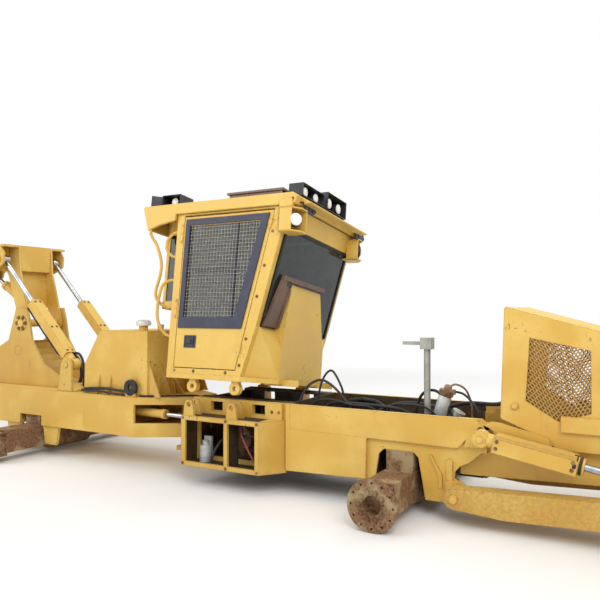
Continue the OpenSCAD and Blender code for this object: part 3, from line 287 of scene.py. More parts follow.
black_plastic = dusty("moulded_black_plastic", "#202126", "#5B5750", 0.5)
black_rubber = dusty("hose_rubber", "#17171A", "#4F4A42", 0.62, 25.0, 0.3)
red_sleeve = dusty("faded_red_cable", "#7E2F33", "#6B5046", 0.6, 20.0, 0.5)
window_paint = dusty("blue_black_window_frame", "#24263A", "#51526A", 0.45, 9.0, 0.25)
rail_paint = dusty("polished_by_hands_yellow", "#CFA243", "#A98743", 0.42, 8.0, 0.4)
cap_white = dusty("chalked_white_cap", "#D8D8D2", "#A8A59A", 0.55, 18.0, 0.5)
lens_glass = dusty("ribbed_lamp_lens", "#F0F0EA", "#CFCBBD", 0.2, 14.0, 0.3)
seat_cloth = dusty("woven_seat_cloth", "#2B2C30", "#4A4742", 0.9, 30.0, 0.3, 500.0, 0.4)
glass = safety_glass("tinted_safety_glass", "#364845")
print("glass and rubber ready")

# %% [markdown]
# Which node wears what
# The first table names the finish of the CAD nodes. Anything not listed is sprayed enamel.
# The second says which material slot of the part each finish stands for.

# %% Dress the CAD nodes
dressed_in = [
    (cast_rust, "transfer_case"), (axle_rust, "front_axle rear_axle"), (pale_sheet, "hatch_canister"),
    (black_plastic, "radiator_core front_grille work_lamps control_console"), (grey_steel, "bay_post bay_filter"),
    (black_rubber, "bay_hoses"), (brown_sheet, "roof_air_box"), (seat_cloth, "operator_seat"),
    (chrome, "arch_cylinder_rods boom_cylinder_rod steer_rod_right steer_rod_left blade_cylinder_rods"),
    (glass, "cab_windscreen cab_rear_window right_door_window left_door_window"),
    (bay_enamel, "front_chassis"), (hatch_enamel, "hatch_boxes"),
    (worn_enamel, "cab_mounts blade_arms dozer_blade side_grilles"),
    (cab_enamel, "cab_floor cab_frame cab_cowl cab_roof right_door left_door grab_rails"),
]
finish_of = {name: finish for finish, names in dressed_in for name in names.split()}
for name, obj in nodes.items():
    obj.data.materials.clear()
    obj.data.materials.append(finish_of.get(name, enamel))
slot_groups = {
    "weathered_yellow_paint": (enamel, cab_enamel, worn_enamel, mesh_enamel, rail_paint, cap_white),
    "brown_sheet": (air_enamel, channel_enamel), "rusty_steel": (cast_rust, axle_rust),
    "grey_steel": (pale_sheet, guard_wire), "tinted_glass": (glass, lens_glass), "seat_cloth": (seat_cloth,),
    "black_plastic": (black_plastic, window_paint), "black_rubber": (black_rubber, red_sleeve),
}
slot_of = {finish.name: slot for slot, finishes in slot_groups.items() for finish in finishes}
print(len(nodes), "nodes dressed")

# %% [markdown]
# Places and shapes
# Stations are written from the steering joint, 192.5 mm behind the part's origin. The cab is drawn seated and then
# leans 7.5 degrees over its tilt hinge, and a cylinder's pieces are drawn along its line, by a matrix for each body.
# Every plate is an outline with a thickness, every boss is a turned profile, and every pipe is a swept ring.

# %% Places and shape helpers
on_frame = Matrix.Translation((-0.1925, 0, 0))
on_cab = (on_frame @ Matrix.Translation((0, 0.595, 0.727)) @ Matrix.Rotation(math.radians(-7.5), 4, "X")
          @ Matrix.Translation((0, -0.595, -0.727)))


def along(start, end):
    """Turns local Z into the line from start to end, both in X and Z. Local Y stays across the machine."""
    angle = math.atan2(end[0] - start[0], end[1] - start[1])
    return on_frame @ (Matrix.Translation((start[0], 0, start[1])) @ Matrix.Rotation(angle, 4, "Y"))


arch_line, arch_long = along((-1.6, 0.99), (-2.76, 2.16)), math.hypot(1.16, 1.17)
lift_line, lift_long = along((2.79, 0.655), (3.95, 0.44)), math.hypot(1.16, 0.215)
boom_line, boom_long = along((-2.79, 1.62), (-3.4, 2.0)), math.hypot(0.61, 0.38)
place_of = {
    "cab": on_cab, "door_right": on_cab, "door_left": on_cab, "arch_barrels": arch_line, "arch_rods": arch_line,
    "blade_barrels": lift_line, "blade_rods": lift_line, "boom_rod": boom_line,
}
# faces and axes of the CAD that pieces are set against
roof_top, deck_top, tower_foot = 2.4255, 0.7105, 0.712
pillar_face, rail_face = 0.6602, 0.4752
arch_y, lift_y, axle_x, axle_z = 0.35, 0.566, 2.13, 0.19


def loops(bm, rows, closed=False):
    """Joins rows of corners with quads. A closed set of rows meets its own start; else its ends are capped."""
    made = [[bm.verts.new(p) for p in row] for row in rows]
    n = len(made[0])
    for a, b in zip(made, made[1:] + made[:1] if closed else made[1:]):
        for i in range(n):
            bm.faces.new((a[i], a[(i + 1) % n], b[(i + 1) % n], b[i]))
    if not closed:
        bm.faces.new(made[0])
        bm.faces.new(made[-1])


def plate(bm, outline, y0, y1):
    """An outline in X and Z with its thickness along Y."""
    loops(bm, [[(x, y, z) for x, z in outline] for y in (y0, y1)])


def cross_plate(bm, outline, x0, x1):
    """An outline in Y and Z with its thickness along X."""
    loops(bm, [[(x, y, z) for y, z in outline] for x in (x0, x1)])


def box(x0, x1, z0, z1):
    return [(x0, z0), (x1, z0), (x1, z1), (x0, z1)]


def slab(bm, x0, x1, y0, y1, z0, z1):
    plate(bm, box(x0, x1, z0, z1), y0, y1)


def rim(bm, outer, inner, y0, y1):
    """A flat ring between two outlines of as many corners."""
    sections = (outer, y0), (inner, y0), (inner, y1), (outer, y1)
    loops(bm, [[(x, y, z) for x, z in line] for line, y in sections], True)


def circle(parts):
    return [2 * math.pi * i / parts for i in range(parts)]


def turned(bm, start, axis, profile, parts=28, hollow=False):
    """A profile of radius and distance, turned round the line from start along an axis."""
    z = Vector(axis).normalized()
    x = z.orthogonal().normalized()
    y = z.cross(x)
    loops(bm, [[Vector(start) + z * d + r * (math.cos(a) * x + math.sin(a) * y) for a in circle(parts)]
               for r, d in profile], hollow)


def flowing(points, steps=6):
    """A Catmull-Rom line through the points."""
    p = [Vector(q) for q in points]
    p = [2 * p[0] - p[1], *p, 2 * p[-1] - p[-2]]
    line = []
    for a, b, c, d in zip(p, p[1:], p[2:], p[3:]):
        for t in (i / steps for i in range(steps)):
            line.append(0.5 * (2 * b + (c - a) * t + (2 * a - 5 * b + 4 * c - d) * t * t
                               + (3 * b - a - 3 * c + d) * t ** 3))
    return [*line, p[-2]]


def pipe(bm, radius, points, sides=8):
    """A ring carried along a line without twisting."""
    line = flowing(points)
    side = (line[1] - line[0]).orthogonal().normalized()
    rows = []
    for i, here in enumerate(line):
        ahead = (line[min(i + 1, len(line) - 1)] - line[max(i - 1, 0)]).normalized()
        side = (side - ahead * side.dot(ahead)).normalized()
        over = ahead.cross(side)
        rows.append([here + radius * (math.cos(a) * side + math.sin(a) * over) for a in circle(sides)])
    loops(bm, rows)


def mirrored(bm):
    """Adds the same shapes on the machine's other side."""
    copy = bmesh.ops.duplicate(bm, geom=bm.verts[:] + bm.edges[:] + bm.faces[:])["geom"]
    for v in copy:
        if isinstance(v, bmesh.types.BMVert):
            v.co.y *= -1


def piece(name, bm, material, body, bevel=0.0, smooth=False, replaces=(), slot=None):
    """Turns drawn shapes into an object of a body."""
    bmesh.ops.recalc_face_normals(bm, faces=bm.faces[:])
    bm.transform(place_of.get(body, on_frame))
    mesh = bpy.data.meshes.new(name)
    bm.to_mesh(mesh)
    bm.free()
    mesh.materials.append(material)
    obj = put(name, mesh)
    fold = math.radians(35)
    if smooth:
        mesh.shade_smooth()
        mesh.set_sharp_from_angle(angle=fold)
    if bevel:
        cut = obj.modifiers.new("edge", "BEVEL")
        cut.width, cut.segments, cut.limit_method, cut.angle_limit = bevel, 2, "ANGLE", fold
    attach(obj, body)
    slot = slot or slot_of[material.name]
    if replaces:
        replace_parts(obj, *replaces)
    return obj


print("cab place", [round(v, 3) for v in on_cab.to_translation()])

# %% [markdown]
# Bolts and wires by Geometry Nodes
# Screw heads and wires repeat by the hundred, so two node trees make them from lists of points and edges.
# One tree puts a hexagon head and a washer on each point of a seed mesh, turned to the point's own facing.
# The other makes the edges of a seed mesh into round wires. Both bake to plain meshes.

# %% Node trees


def new_tree(name, inputs):
    tree = bpy.data.node_groups.new(name, "GeometryNodeTree")
    tree.interface.new_socket("Geometry", in_out="INPUT", socket_type="NodeSocketGeometry")
    for label, kind in inputs:
        tree.interface.new_socket(label, in_out="INPUT", socket_type="NodeSocket" + kind)
    tree.interface.new_socket("Geometry", in_out="OUTPUT", socket_type="NodeSocketGeometry")
    return tree, tree.nodes.new("NodeGroupInput").outputs


def close_tree(tree, geometry, finish):
    real = add(tree, "GeometryNodeRealizeInstances", {0: geometry})
    coated = add(tree, "GeometryNodeSetMaterial", {"Geometry": real.outputs[0], "Material": finish})
    add(tree, "NodeGroupOutput", {0: coated.outputs[0]})


bolts, bolt_in = new_tree("bolt_heads", [("Head radius", "Float"), ("Head height", "Float"),
                                         ("Washer radius", "Float"), ("Finish", "Material")])
head = add(bolts, "GeometryNodeMeshCylinder",
           {"Vertices": 6, "Radius": bolt_in["Head radius"], "Depth": bolt_in["Head height"]}).outputs["Mesh"]
half = add(bolts, "ShaderNodeMath", {0: bolt_in["Head height"], 1: 0.6}, operation="MULTIPLY")
lift = add(bolts, "ShaderNodeCombineXYZ", {2: half.outputs[0]})
raised = add(bolts, "GeometryNodeTransform", {"Geometry": head, "Translation": lift.outputs[0]})
washer = add(bolts, "GeometryNodeMeshCylinder",
             {"Vertices": 16, "Radius": bolt_in["Washer radius"], "Depth": 0.006}).outputs["Mesh"]
both_parts = add(bolts, "GeometryNodeJoinGeometry", {0: raised.outputs[0]})
bolts.links.new(washer, both_parts.inputs[0])
facing = add(bolts, "GeometryNodeInputNamedAttribute", {"Name": "facing"}, data_type="FLOAT_VECTOR")
turn = add(bolts, "FunctionNodeAlignRotationToVector", {"Vector": facing.outputs[0]}, axis="Z")
placed = add(bolts, "GeometryNodeInstanceOnPoints", {
    "Points": bolt_in["Geometry"], "Instance": both_parts.outputs[0], "Rotation": turn.outputs[0]})
close_tree(bolts, placed.outputs[0], bolt_in["Finish"])

wires, wire_in = new_tree("round_wires", [("Wire radius", "Float"), ("Sides", "Int"), ("Finish", "Material")])
runs = add(wires, "GeometryNodeMeshToCurve", {"Mesh": wire_in["Geometry"]})
section = add(wires, "GeometryNodeCurvePrimitiveCircle",
              {"Resolution": wire_in["Sides"], "Radius": wire_in["Wire radius"]})
swept = add(wires, "GeometryNodeCurveToMesh",
            {"Curve": runs.outputs[0], "Profile Curve": section.outputs[0], "Fill Caps": True})
close_tree(wires, swept.outputs[0], wire_in["Finish"])


def grown(name, tree, points, edges, values, material, body, facings=()):
    """Runs a tree on a seed mesh and keeps the result as a plain mesh."""
    place = place_of.get(body, on_frame)
    seed_mesh = bpy.data.meshes.new(name + "_seed")
    seed_mesh.from_pydata([place @ Vector(p) for p in points], edges, [])
    if facings:
        turned_to = seed_mesh.attributes.new("facing", "FLOAT_VECTOR", "POINT")
        turned_to.data.foreach_set("vector", [c for f in facings for c in (place.to_3x3() @ Vector(f))])
    seed = put(name + "_seed", seed_mesh)
    modifier = seed.modifiers.new("grow", "NODES")
    modifier.node_group = tree
    chosen = {**values, "Finish": material}
    for item in tree.interface.items_tree:
        if item.in_out == "INPUT" and item.name in chosen:
            modifier[item.identifier] = chosen[item.name]
    result = bpy.data.meshes.new_from_object(seed.evaluated_get(bpy.context.evaluated_depsgraph_get()))
    bpy.data.objects.remove(seed)
    result.materials.clear()
    result.materials.append(material)
    obj = put(name, result)
    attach(obj, body)
    return obj


print("node trees:", bolts.name, wires.name)

# %% [markdown]
# Cab roof, its lamps and the air box
# The roof is a folded sheet tray whose sides come down as a deep skirt behind the cab. It is cut as side plates,
# a top, a back and a front band, because sheet folds show as crisp lines that a bevel then softens.
# The lamp boxes are open black cans with a round lamp inside, so each is a tray on edge with a turned lens.

# %% Roof
roof = bmesh.new()
skirt = [(-0.425, 2.182), (-0.505, 2.413), (-0.492, 2.425), (1.18, 2.425), (1.233, 2.395), (1.205, 2.3225),
         (-0.095, 2.3225), (-0.095, 2.262), (-0.295, 2.228)]
plate(roof, skirt, -0.695, -0.665)
slab(roof, 1.06, 1.19, -0.706, -0.664, 2.295, 2.365)
plate(roof, [(1.06, 2.08), (1.06, 2.296), (1.076, 2.296), (1.076, 2.08)], -0.706, -0.53)
shelf = [(1.06, -0.706), (1.19, -0.706), (1.25, -0.63), (1.25, -0.61), (1.06, -0.61)]
lamp_shelves = (2.28, 2.296), (2.08, 2.096)
for low, high in lamp_shelves:
    plate(roof, [(1.06, low), (1.06, high), (1.25, high), (1.25, low)], -0.62, -0.53)
for heights in lamp_shelves:
    loops(roof, [[(x, y, z) for x, y in shelf] for z in heights])
slab(roof, 1.06, 1.19, -0.706, -0.694, 2.08, 2.296)
slab(roof, 1.12, 1.25, -0.542, -0.53, 2.08, 2.296)
mirrored(roof)
plate(roof, [(-0.505, 2.413), (-0.492, 2.4245), (1.18, 2.4245), (1.233, 2.3945), (1.215, 2.37), (1.17, 2.397),
             (-0.474, 2.397)], -0.666, 0.666)
plate(roof, [(-0.425, 2.182), (-0.505, 2.413), (-0.474, 2.4), (-0.398, 2.182)], -0.666, 0.666)
plate(roof, [(1.17, 2.4), (1.232, 2.39), (1.205, 2.3225), (1.16, 2.3225)], -0.666, 0.666)
plate(roof, [(1.18, 2.37), (1.233, 2.385), (1.312, 2.352), (1.304, 2.34), (1.216, 2.33)], -0.6, 0.6)
piece("folded_cab_roof", roof, cab_enamel, "cab", bevel=0.006, replaces=("cab_roof",))

air = bmesh.new()
slab(air, 0.325, 0.912, -0.43, 0.43, roof_top, 2.542)
slab(air, 0.305, 0.93, -0.45, 0.45, 2.542, 2.564)
for x in (0.325, 0.52, 0.72, 0.888):
    slab(air, x, x + 0.024, -0.434, 0.434, roof_top, 2.545)
piece("roof_air_box_panels", air, air_enamel, "cab", bevel=0.004, replaces=("roof_air_box",))
print("roof and air box made")

# %% Lamp boxes
# each box: place in X and Y, turn in degrees, width, depth and height in metres, number of lamps
lamp_boxes = [(-0.233, -0.52, -90, 0.226, 0.2, 0.108, 1), (-0.233, 0.52, 90, 0.226, 0.2, 0.18, 1),
              (-0.45, -0.568, -140, 0.15, 0.11, 0.105, 1), (-0.45, 0.568, 140, 0.15, 0.11, 0.18, 1),
              (1.12, -0.34, 0, 0.4, 0.15, 0.118, 2), (1.12, 0.13, 0, 0.4, 0.15, 0.17, 2)]
cans, lenses = bmesh.new(), bmesh.new()
for x, y, angle, width, depth, height, lamps in lamp_boxes:
    spot = Matrix.Translation((x, y, roof_top)) @ Matrix.Rotation(math.radians(angle), 4, "Z")
    can, lens = bmesh.new(), bmesh.new()
    d, w, z0, z1, t = depth / 2, width / 2, 0.012, 0.012 + height, 0.006
    slab(can, -d, -d + t, -w, w, z0, z1)
    slab(can, -d, d, -w, -w + t, z0, z1)
    slab(can, -d, d, w - t, w, z0, z1)
    slab(can, -d, d, -w, w, z0, z0 + t)
    slab(can, -d, d, -w, w, z1 - t, z1)
    slab(can, -d / 2, d / 2, -w / 2, w / 2, 0, z0)
    r = min(0.052, height / 2 - 0.012)
    for i in range(lamps):
        mid = (0, (i - (lamps - 1) / 2) * width / 2, (z0 + z1) / 2)
        turned(can, mid, (1, 0, 0), [(r * 0.5, -0.04), (r, -0.01), (r, 0.03), (r * 0.93, 0.034)])
        turned(lens, mid, (1, 0, 0), [(r * 0.93, 0.032), (r * 0.9, 0.04), (r * 0.6, 0.046), (r * 0.25, 0.049)])
        slab(can, -0.012, 0.012, mid[1] - 0.012, mid[1] + 0.012, z0, mid[2] - r * 0.8)
    for made, total in ((can, cans), (lens, lenses)):
        made.transform(spot)
        mesh = bpy.data.meshes.new("part")
        made.to_mesh(mesh)
        total.from_mesh(mesh)
        bpy.data.meshes.remove(mesh)
        made.free()
for s in (-1, 1):
    aim = Vector((0.788, s * 0.616, 0))
    mid = Vector((1.19, s * 0.645, 2.188))
    turned(cans, mid, aim, [(0.03, -0.06), (0.062, -0.02), (0.062, 0.02), (0.055, 0.026)])
    turned(lenses, mid, aim, [(0.055, 0.024), (0.052, 0.034), (0.035, 0.041), (0.012, 0.044)])
piece("lamp_boxes", cans, black_plastic, "cab", bevel=0.002, smooth=True, replaces=("work_lamps",))
piece("lamp_lenses", lenses, lens_glass, "cab", smooth=True)
print(len(lamp_boxes), "lamp boxes")

# %% [markdown]
# Handles and the glazed bay
# Three tubes stand behind each door: a long one down from the skirt, an upper and a lower one. Each is a ring swept
# along a smooth line, because a bent tube has no corners.
# Behind the seat the cab's back is a glazed bay, narrow posts with a pane on each side.

# %% Handles and bay


def on_post(z):
    """A point on the back post's rear face at a height."""
    return (-0.06 - 0.026 * (z - 0.835) / (2.322 - 0.835), -0.64, z)


rails = bmesh.new()
routes = [
    [(-0.396, -0.675, 2.19), (-0.396, -0.675, 2.15), (-0.35, -0.68, 2.09), (-0.303, -0.676, 2.031),
     (-0.235, -0.672, 1.872), (-0.233, -0.672, 1.747), (-0.266, -0.674, 1.603), (-0.257, -0.672, 1.526),
     (-0.2, -0.662, 1.47), (-0.14, -0.646, 1.444), on_post(1.44)],
    [on_post(2.16), (-0.14, -0.65, 2.14), (-0.182, -0.664, 2.083), (-0.188, -0.668, 2.03),
     (-0.182, -0.664, 1.986), (-0.14, -0.65, 1.935), on_post(1.915)],
    [on_post(1.7), (-0.14, -0.662, 1.684), (-0.182, -0.69, 1.63), (-0.202, -0.7, 1.478),
     (-0.196, -0.7, 1.34), (-0.152, -0.69, 1.24), (-0.112, -0.656, 1.182), on_post(1.17)],
]
for route in routes:
    pipe(rails, 0.014, route, 12)
mirrored(rails)
piece("door_handles", rails, rail_paint, "cab", smooth=True, replaces=("grab_rails",))

bay = bmesh.new()
slab(bay, -0.33, -0.075, -0.5, -0.47, 1.445, 1.52)
slab(bay, -0.33, -0.075, -0.5, -0.47, 2.17, 2.39)
slab(bay, -0.33, -0.295, -0.5, -0.44, 1.445, 2.39)
slab(bay, -0.105, -0.07, -0.5, -0.47, 1.5, 2.18)
mirrored(bay)
slab(bay, -0.33, -0.3, -0.45, 0.45, 1.445, 1.52)
slab(bay, -0.33, -0.3, -0.45, 0.45, 2.17, 2.39)
slab(bay, -0.33, -0.075, -0.5, 0.5, 1.445, 1.47)
piece("rear_bay_frame", bay, cab_enamel, "cab", bevel=0.004)
panes = bmesh.new()
slab(panes, -0.295, -0.105, -0.49, -0.484, 1.52, 2.17)
mirrored(panes)
slab(panes, -0.32, -0.314, -0.44, 0.44, 1.52, 2.17)
piece("rear_bay_panes", panes, glass, "cab")
print("handles and bay made")

# %% [markdown]
# Door windows
# Each window is a blue-black painted frame, a sliding pane's bars behind it and a welded wire guard before the glass.
# The guard's wires are 3 mm thick and 34 mm apart, and are cut to the slanted frame's inner edges.

# %% Door windows and latches
frame_out = [(0.034, 1.246), (0.735, 1.246), (0.951, 2.266), (0.026, 2.266)]
frame_in = [(0.086, 1.346), (0.65, 1.346), (0.866, 2.206), (0.078, 2.206)]
sill, front_foot, front_run, opening = 1.346, 0.65, 0.216, 0.86

for side, label in ((-1, "right"), (1, "left")):
    door = "door_" + label
    face = side * pillar_face
    rims = bmesh.new()
    rim(rims, frame_out, frame_in, face, side * 0.673)
    slab(rims, 0.585, 0.622, side * 0.645, side * 0.66, 1.346, 2.206)
    slab(rims, 0.08, 0.76, side * 0.647, side * 0.659, 1.77, 1.79)
    rim(rims, box(0.118, 0.25, 1.068, 1.18), box(0.132, 0.236, 1.082, 1.166), side * 0.6601, side * 0.668)
    piece(label + "_window_frame", rims, window_paint, door, bevel=0.003)
    latch = bmesh.new()
    slab(latch, 0.133, 0.235, face, side * 0.6625, 1.083, 1.165)
    slab(latch, 0.145, 0.2, side * 0.6625, side * 0.672, 1.105, 1.145)
    slab(latch, 0.206, 0.226, side * 0.6625, side * 0.669, 1.09, 1.16)
    piece(label + "_door_latch", latch, black_plastic, door, bevel=0.002)
    ends = []
    for k in range(25):
        z = 1.362 + 0.034 * k
        x = front_foot + front_run * (z - sill) / opening
        ends += [(0.084, side * 0.6665, z), (x + 0.004, side * 0.6665, z)]
    for k in range(23):
        x = 0.1 + 0.034 * k
        low = 1.344 if x < front_foot else sill + (x - front_foot) / front_run * opening
        ends += [(x, side * 0.6645, low), (x, side * 0.6645, 2.208)]
    grown(label + "_window_guard", wires, ends, [(i, i + 1) for i in range(0, len(ends), 2)],
          {"Wire radius": 0.0015, "Sides": 6}, guard_wire, door)
    strips = bmesh.new()
    for z0, z1 in ((1.338, 1.516), (2.042, 2.226)):
        slab(strips, -0.03, -0.004, face, side * 0.667, z0, z1)
        for z in (z0 + 0.02, z1 - 0.02, (z0 + z1) / 2):
            turned(strips, (-0.017, side * 0.666, z), (0, side, 0), [(0.009, 0), (0.009, 0.006), (0.005, 0.009)], 8)
    piece(label + "_door_keepers", strips, cab_enamel, "cab", bevel=0.002)
print("windows made")

# %% [markdown]
# Windscreen trim, cowl seal and mirror brackets
# A black rubber strip holds the windscreen, and a brown pressed channel closes the gap between screen and cowl.
# Both lie on the screen's slanted plane, so their corners are given across the cab and in height only.

# %% Windscreen trim


def screen_sheet(bm, corners, near, far):
    """A sheet on the screen, between two distances in front of its outer face."""
    loops(bm, [[(0.884 + 0.2279 * (z - 1.274) + 0.008 + out, y, z) for y, z in corners] for out in (near, far)])


trim = bmesh.new()
screen_sheet(trim, [(-0.603, 1.28), (-0.603, 2.147), (-0.578, 2.147), (-0.578, 1.28)], 0.0005, 0.012)
mirrored(trim)
screen_sheet(trim, [(-0.578, 2.12), (-0.578, 2.147), (0.578, 2.147), (0.578, 2.12)], 0.0005, 0.012)
piece("windscreen_rubber", trim, black_rubber, "cab", bevel=0.003)
channel = bmesh.new()
for corners, near, far in (
    ([(-0.602, 1.284), (-0.482, 1.718), (-0.405, 1.718), (-0.405, 1.66), (-0.33, 1.64), (-0.385, 1.284)], 0.002, 0.03),
    ([(-0.602, 1.284), (-0.482, 1.718), (-0.462, 1.718), (-0.582, 1.284)], 0.03, 0.042),
    ([(-0.352, 1.63), (-0.33, 1.64), (-0.372, 1.284), (-0.395, 1.284)], 0.03, 0.046),
    ([(-0.482, 1.7), (-0.482, 1.742), (0.3, 1.742), (0.3, 1.7)], 0.002, 0.034),
):
    screen_sheet(channel, corners, near, far)
piece("cowl_seal_channel", channel, channel_enamel, "cab", bevel=0.004)

brackets = bmesh.new()
for y0, y1 in ((-0.62, -0.4), (0.42, 0.66)):
    cross_plate(brackets, [(y0, 2.352), (y1, 2.352), (y1 + 0.03, 2.315), (y1 - 0.03, 2.272), (y0 + 0.06, 2.282)],
                1.236, 1.246)
    slab(brackets, 1.19, 1.246, y0, y1, 2.345, 2.352)
for y in (-0.56, -0.5, -0.44, 0.48, 0.55):
    turned(brackets, (1.246, y, 2.312), (1, 0, 0), [(0.014, 0), (0.014, 0.004), (0.009, 0.005)], 12)
piece("mirror_brackets", brackets, window_paint, "cab", bevel=0.002)
far_rail = bmesh.new()
pipe(far_rail, 0.013, [(0.905, 0.655, 1.8), (0.932, 0.668, 1.785), (0.958, 0.668, 1.7), (0.928, 0.668, 1.55),
                       (0.897, 0.668, 1.4), (0.868, 0.668, 1.31), (0.845, 0.655, 1.29)], 12)
piece("windscreen_handle", far_rail, rail_paint, "cab", smooth=True)
print("windscreen trim made")

# %% [markdown]
# Operator's seat
# The cushions are foam in woven cloth. Each starts as a subdivided box whose middle is pushed out and whose sides
# are pulled in between the corners. That is quicker than a cloth simulation and holds still behind glass.

# %% Seat and levers


def cushion(name, low, high, crown):
    bm = bmesh.new()
    bmesh.ops.create_cube(bm, size=2)
    bmesh.ops.subdivide_edges(bm, edges=bm.edges[:], cuts=7, use_grid_fill=True)
    mid = [(a + b) / 2 for a, b in zip(low, high)]
    half = [(b - a) / 2 for a, b in zip(low, high)]
    for v in bm.verts:
        x, y, z = v.co
        pull = 1 - 0.05 * (1 - z * z)
        swell = 1 - crown * (x * x + y * y) / 2
        v.co = (mid[0] + half[0] * x * pull * (1 - 0.06 * (1 - y * y)),
                mid[1] + half[1] * y * pull * (1 - 0.05 * (1 - x * x)), mid[2] + half[2] * z * swell)
    obj = piece(name, bm, seat_cloth, "cab", smooth=True)
    round_off = obj.modifiers.new("foam", "SUBSURF")
    round_off.levels = round_off.render_levels = 1
    return obj


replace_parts(cushion("seat_cushion", (0.155, -0.225, 1.065), (0.555, 0.225, 1.178), 0.35), "operator_seat")
cushion("seat_backrest", (0.085, -0.205, 1.19), (0.185, 0.205, 1.79), 0.08)
under = bmesh.new()
slab(under, 0.24, 0.46, -0.1, 0.1, 0.812, 0.95)
slab(under, 0.26, 0.44, -0.08, 0.08, 0.95, 1.03)
slab(under, 0.2, 0.5, -0.19, 0.19, 1.03, 1.064)
slab(under, 0.1, 0.13, -0.04, 0.04, 1.05, 1.3)
slab(under, 0.3, 0.345, -0.262, 0.262, 1.035, 1.062)
for y in (-0.262, 0.262):
    slab(under, 0.3, 0.345, y - 0.012, y + 0.012, 1.04, 1.21)
    plate(under, [(0.19, 1.205), (0.2, 1.235), (0.5, 1.255), (0.51, 1.225)], y - 0.03, y + 0.03)
lever = [(0.035, 0), (0.03, 0.02), (0.012, 0.03), (0.012, 0.1), (0.026, 0.12), (0.03, 0.17), (0.02, 0.2)]
for y in (-0.355, 0.355):
    turned(under, (0.42, y, 1.25), (0.15, 0, 1), lever, 16)
piece("seat_frame_and_levers", under, black_plastic, "cab", bevel=0.006)
print("seat made")

# %% [markdown]
# Tower, tank and frame plates
# The tower behind the tank steps down to the front and is closed by slanted slats, which show between the
# cylinders. The tank has tall fins on its front face and a domed white cap on its neck.

# %% Tower and tank
tower = bmesh.new()
side_plate = [(-3, tower_foot), (-1.48, tower_foot), (-1.48, 0.8), (-1.95, 0.85), (-2.18, 0.96), (-2.38, 1.23),
              (-2.43, 1.47), (-2.47, 1.598), (-2.66, 1.598), (-2.7, 1.48), (-2.79, 1.22), (-3, 1.12)]
plate(tower, side_plate, -0.27, -0.245)
turned(tower, (-2.56, -0.274, 1.42), (0, 1, 0), [(0.088, -0.004), (0.088, 0.004)], 32)
plate(tower, [(-1.725, tower_foot), (-1.515, tower_foot), (-1.52, 0.995), (-1.562, 1.065), (-1.64, 1.065),
              (-1.68, 0.995)], -0.455, -0.432)
plate(tower, [(-1.735, tower_foot), (-1.465, tower_foot), (-1.465, 0.73), (-1.545, 0.79), (-1.645, 0.79),
              (-1.735, 0.73)], -0.434, -0.269)
turned(tower, (-1.6, -0.468, 0.99), (0, 1, 0), [(0.03, 0), (0.03, 0.2)], 24)
turned(tower, (-2.62, -0.272, 1.108), (0, 1, 0), [(0.06, 0), (0.06, 0.004), (0.05, 0.004), (0.05, 0)], 28, True)
mirrored(tower)
for x, top in ((-2.76, 1.205), (-2.46, 0.97), (-2.12, 0.85), (-1.52, 0.8), (-3, 1.12)):
    slab(tower, x, x + 0.02, -0.246, 0.246, tower_foot, top)
for i in range(5):
    x, z = -2.7 + 0.118 * i, 1.18 - 0.066 * i
    plate(tower, [(x, z), (x + 0.016, z), (x + 0.066, z - 0.12), (x + 0.05, z - 0.12)], -0.246, 0.246)
piece("stepped_tower", tower, worn_enamel, "rear_frame", bevel=0.004, replaces=("arch_tower",))

tank = bmesh.new()
for y, top, foot in ((-0.38, 1.056, 0.15), (-0.22, 1.056, 0.15), (-0.007, 0.865, 0.14), (0.206, 1.056, 0.15),
                     (0.366, 1.056, 0.15)):
    plate(tank, [(-0.51, deck_top), (-0.51, top), (-0.507, top), (-0.508 + foot, deck_top)], y, y + 0.014)
piece("tank_front_fins", tank, worn_enamel, "rear_frame")
gussets = bmesh.new()
for x in (-1.16, -1):
    cross_plate(gussets, [(-0.398, deck_top), (-0.398, 0.905), (-0.401, 0.905), (-0.455, deck_top)], x, x + 0.012)
mirrored(gussets)
slab(gussets, -0.742, -0.618, -0.462, -0.438, deck_top, 0.75)
piece("tank_gussets", gussets, worn_enamel, "rear_frame", bevel=0.003)
ring = bmesh.new()
turned(ring, (-0.68, -0.466, 0.8), (0, 1, 0), [(0.074, 0), (0.082, 0.006), (0.082, 0.03), (0.074, 0.036),
                                              (0.036, 0.036), (0.03, 0.03), (0.03, 0.006), (0.036, 0)], 36, True)
piece("deck_lifting_ring", ring, black_rubber, "rear_frame", smooth=True, slot="rusty_steel")
caps = bmesh.new()
turned(caps, (-0.7, -0.25, 1.411), (0, 0, 1),
       [(0.062, 0), (0.075, 0.002), (0.078, 0.03), (0.07, 0.048), (0.045, 0.058), (0.012, 0.06)], 36)
turned(caps, (-0.56, -0.15, 1.395), (0, 0, 1), [(0.034, 0), (0.036, 0.02), (0.028, 0.028), (0.006, 0.03)], 24)
piece("tank_caps", caps, cap_white, "rear_frame", smooth=True)
print("tower and tank made")

# %% Frame plates and housing
plates = bmesh.new()
plate(plates, [(1.116, 0.206), (1.854, 0.23), (1.862, 0.541), (1.88, 0.562), (1.16, 0.562), (1.16, 0.7695),
               (1.116, 0.7695)], -0.4748, -0.446)
plate(plates, [(2.78, 0.735), (2.834, 0.762), (2.898, 0.76), (3.226, 0.682), (3.252, 0.621), (3.037, 0.65),
               (2.8, 0.684)], -0.475, -0.46)
turned(plates, (3, -0.4565, 0.884), (0, -1, 0),
       [(0.03, 0), (0.03, 0.004), (0.02, 0.005), (0.02, 0.016), (0.012, 0.018)], 20)
mirrored(plates)
piece("frame_side_plates", plates, enamel, "front_frame", bevel=0.004)

grille_opening = [(3.105, 1.371), (3.5, 1.29), (3.5, 0.865), (3.29, 0.797), (3.075, 0.926)]


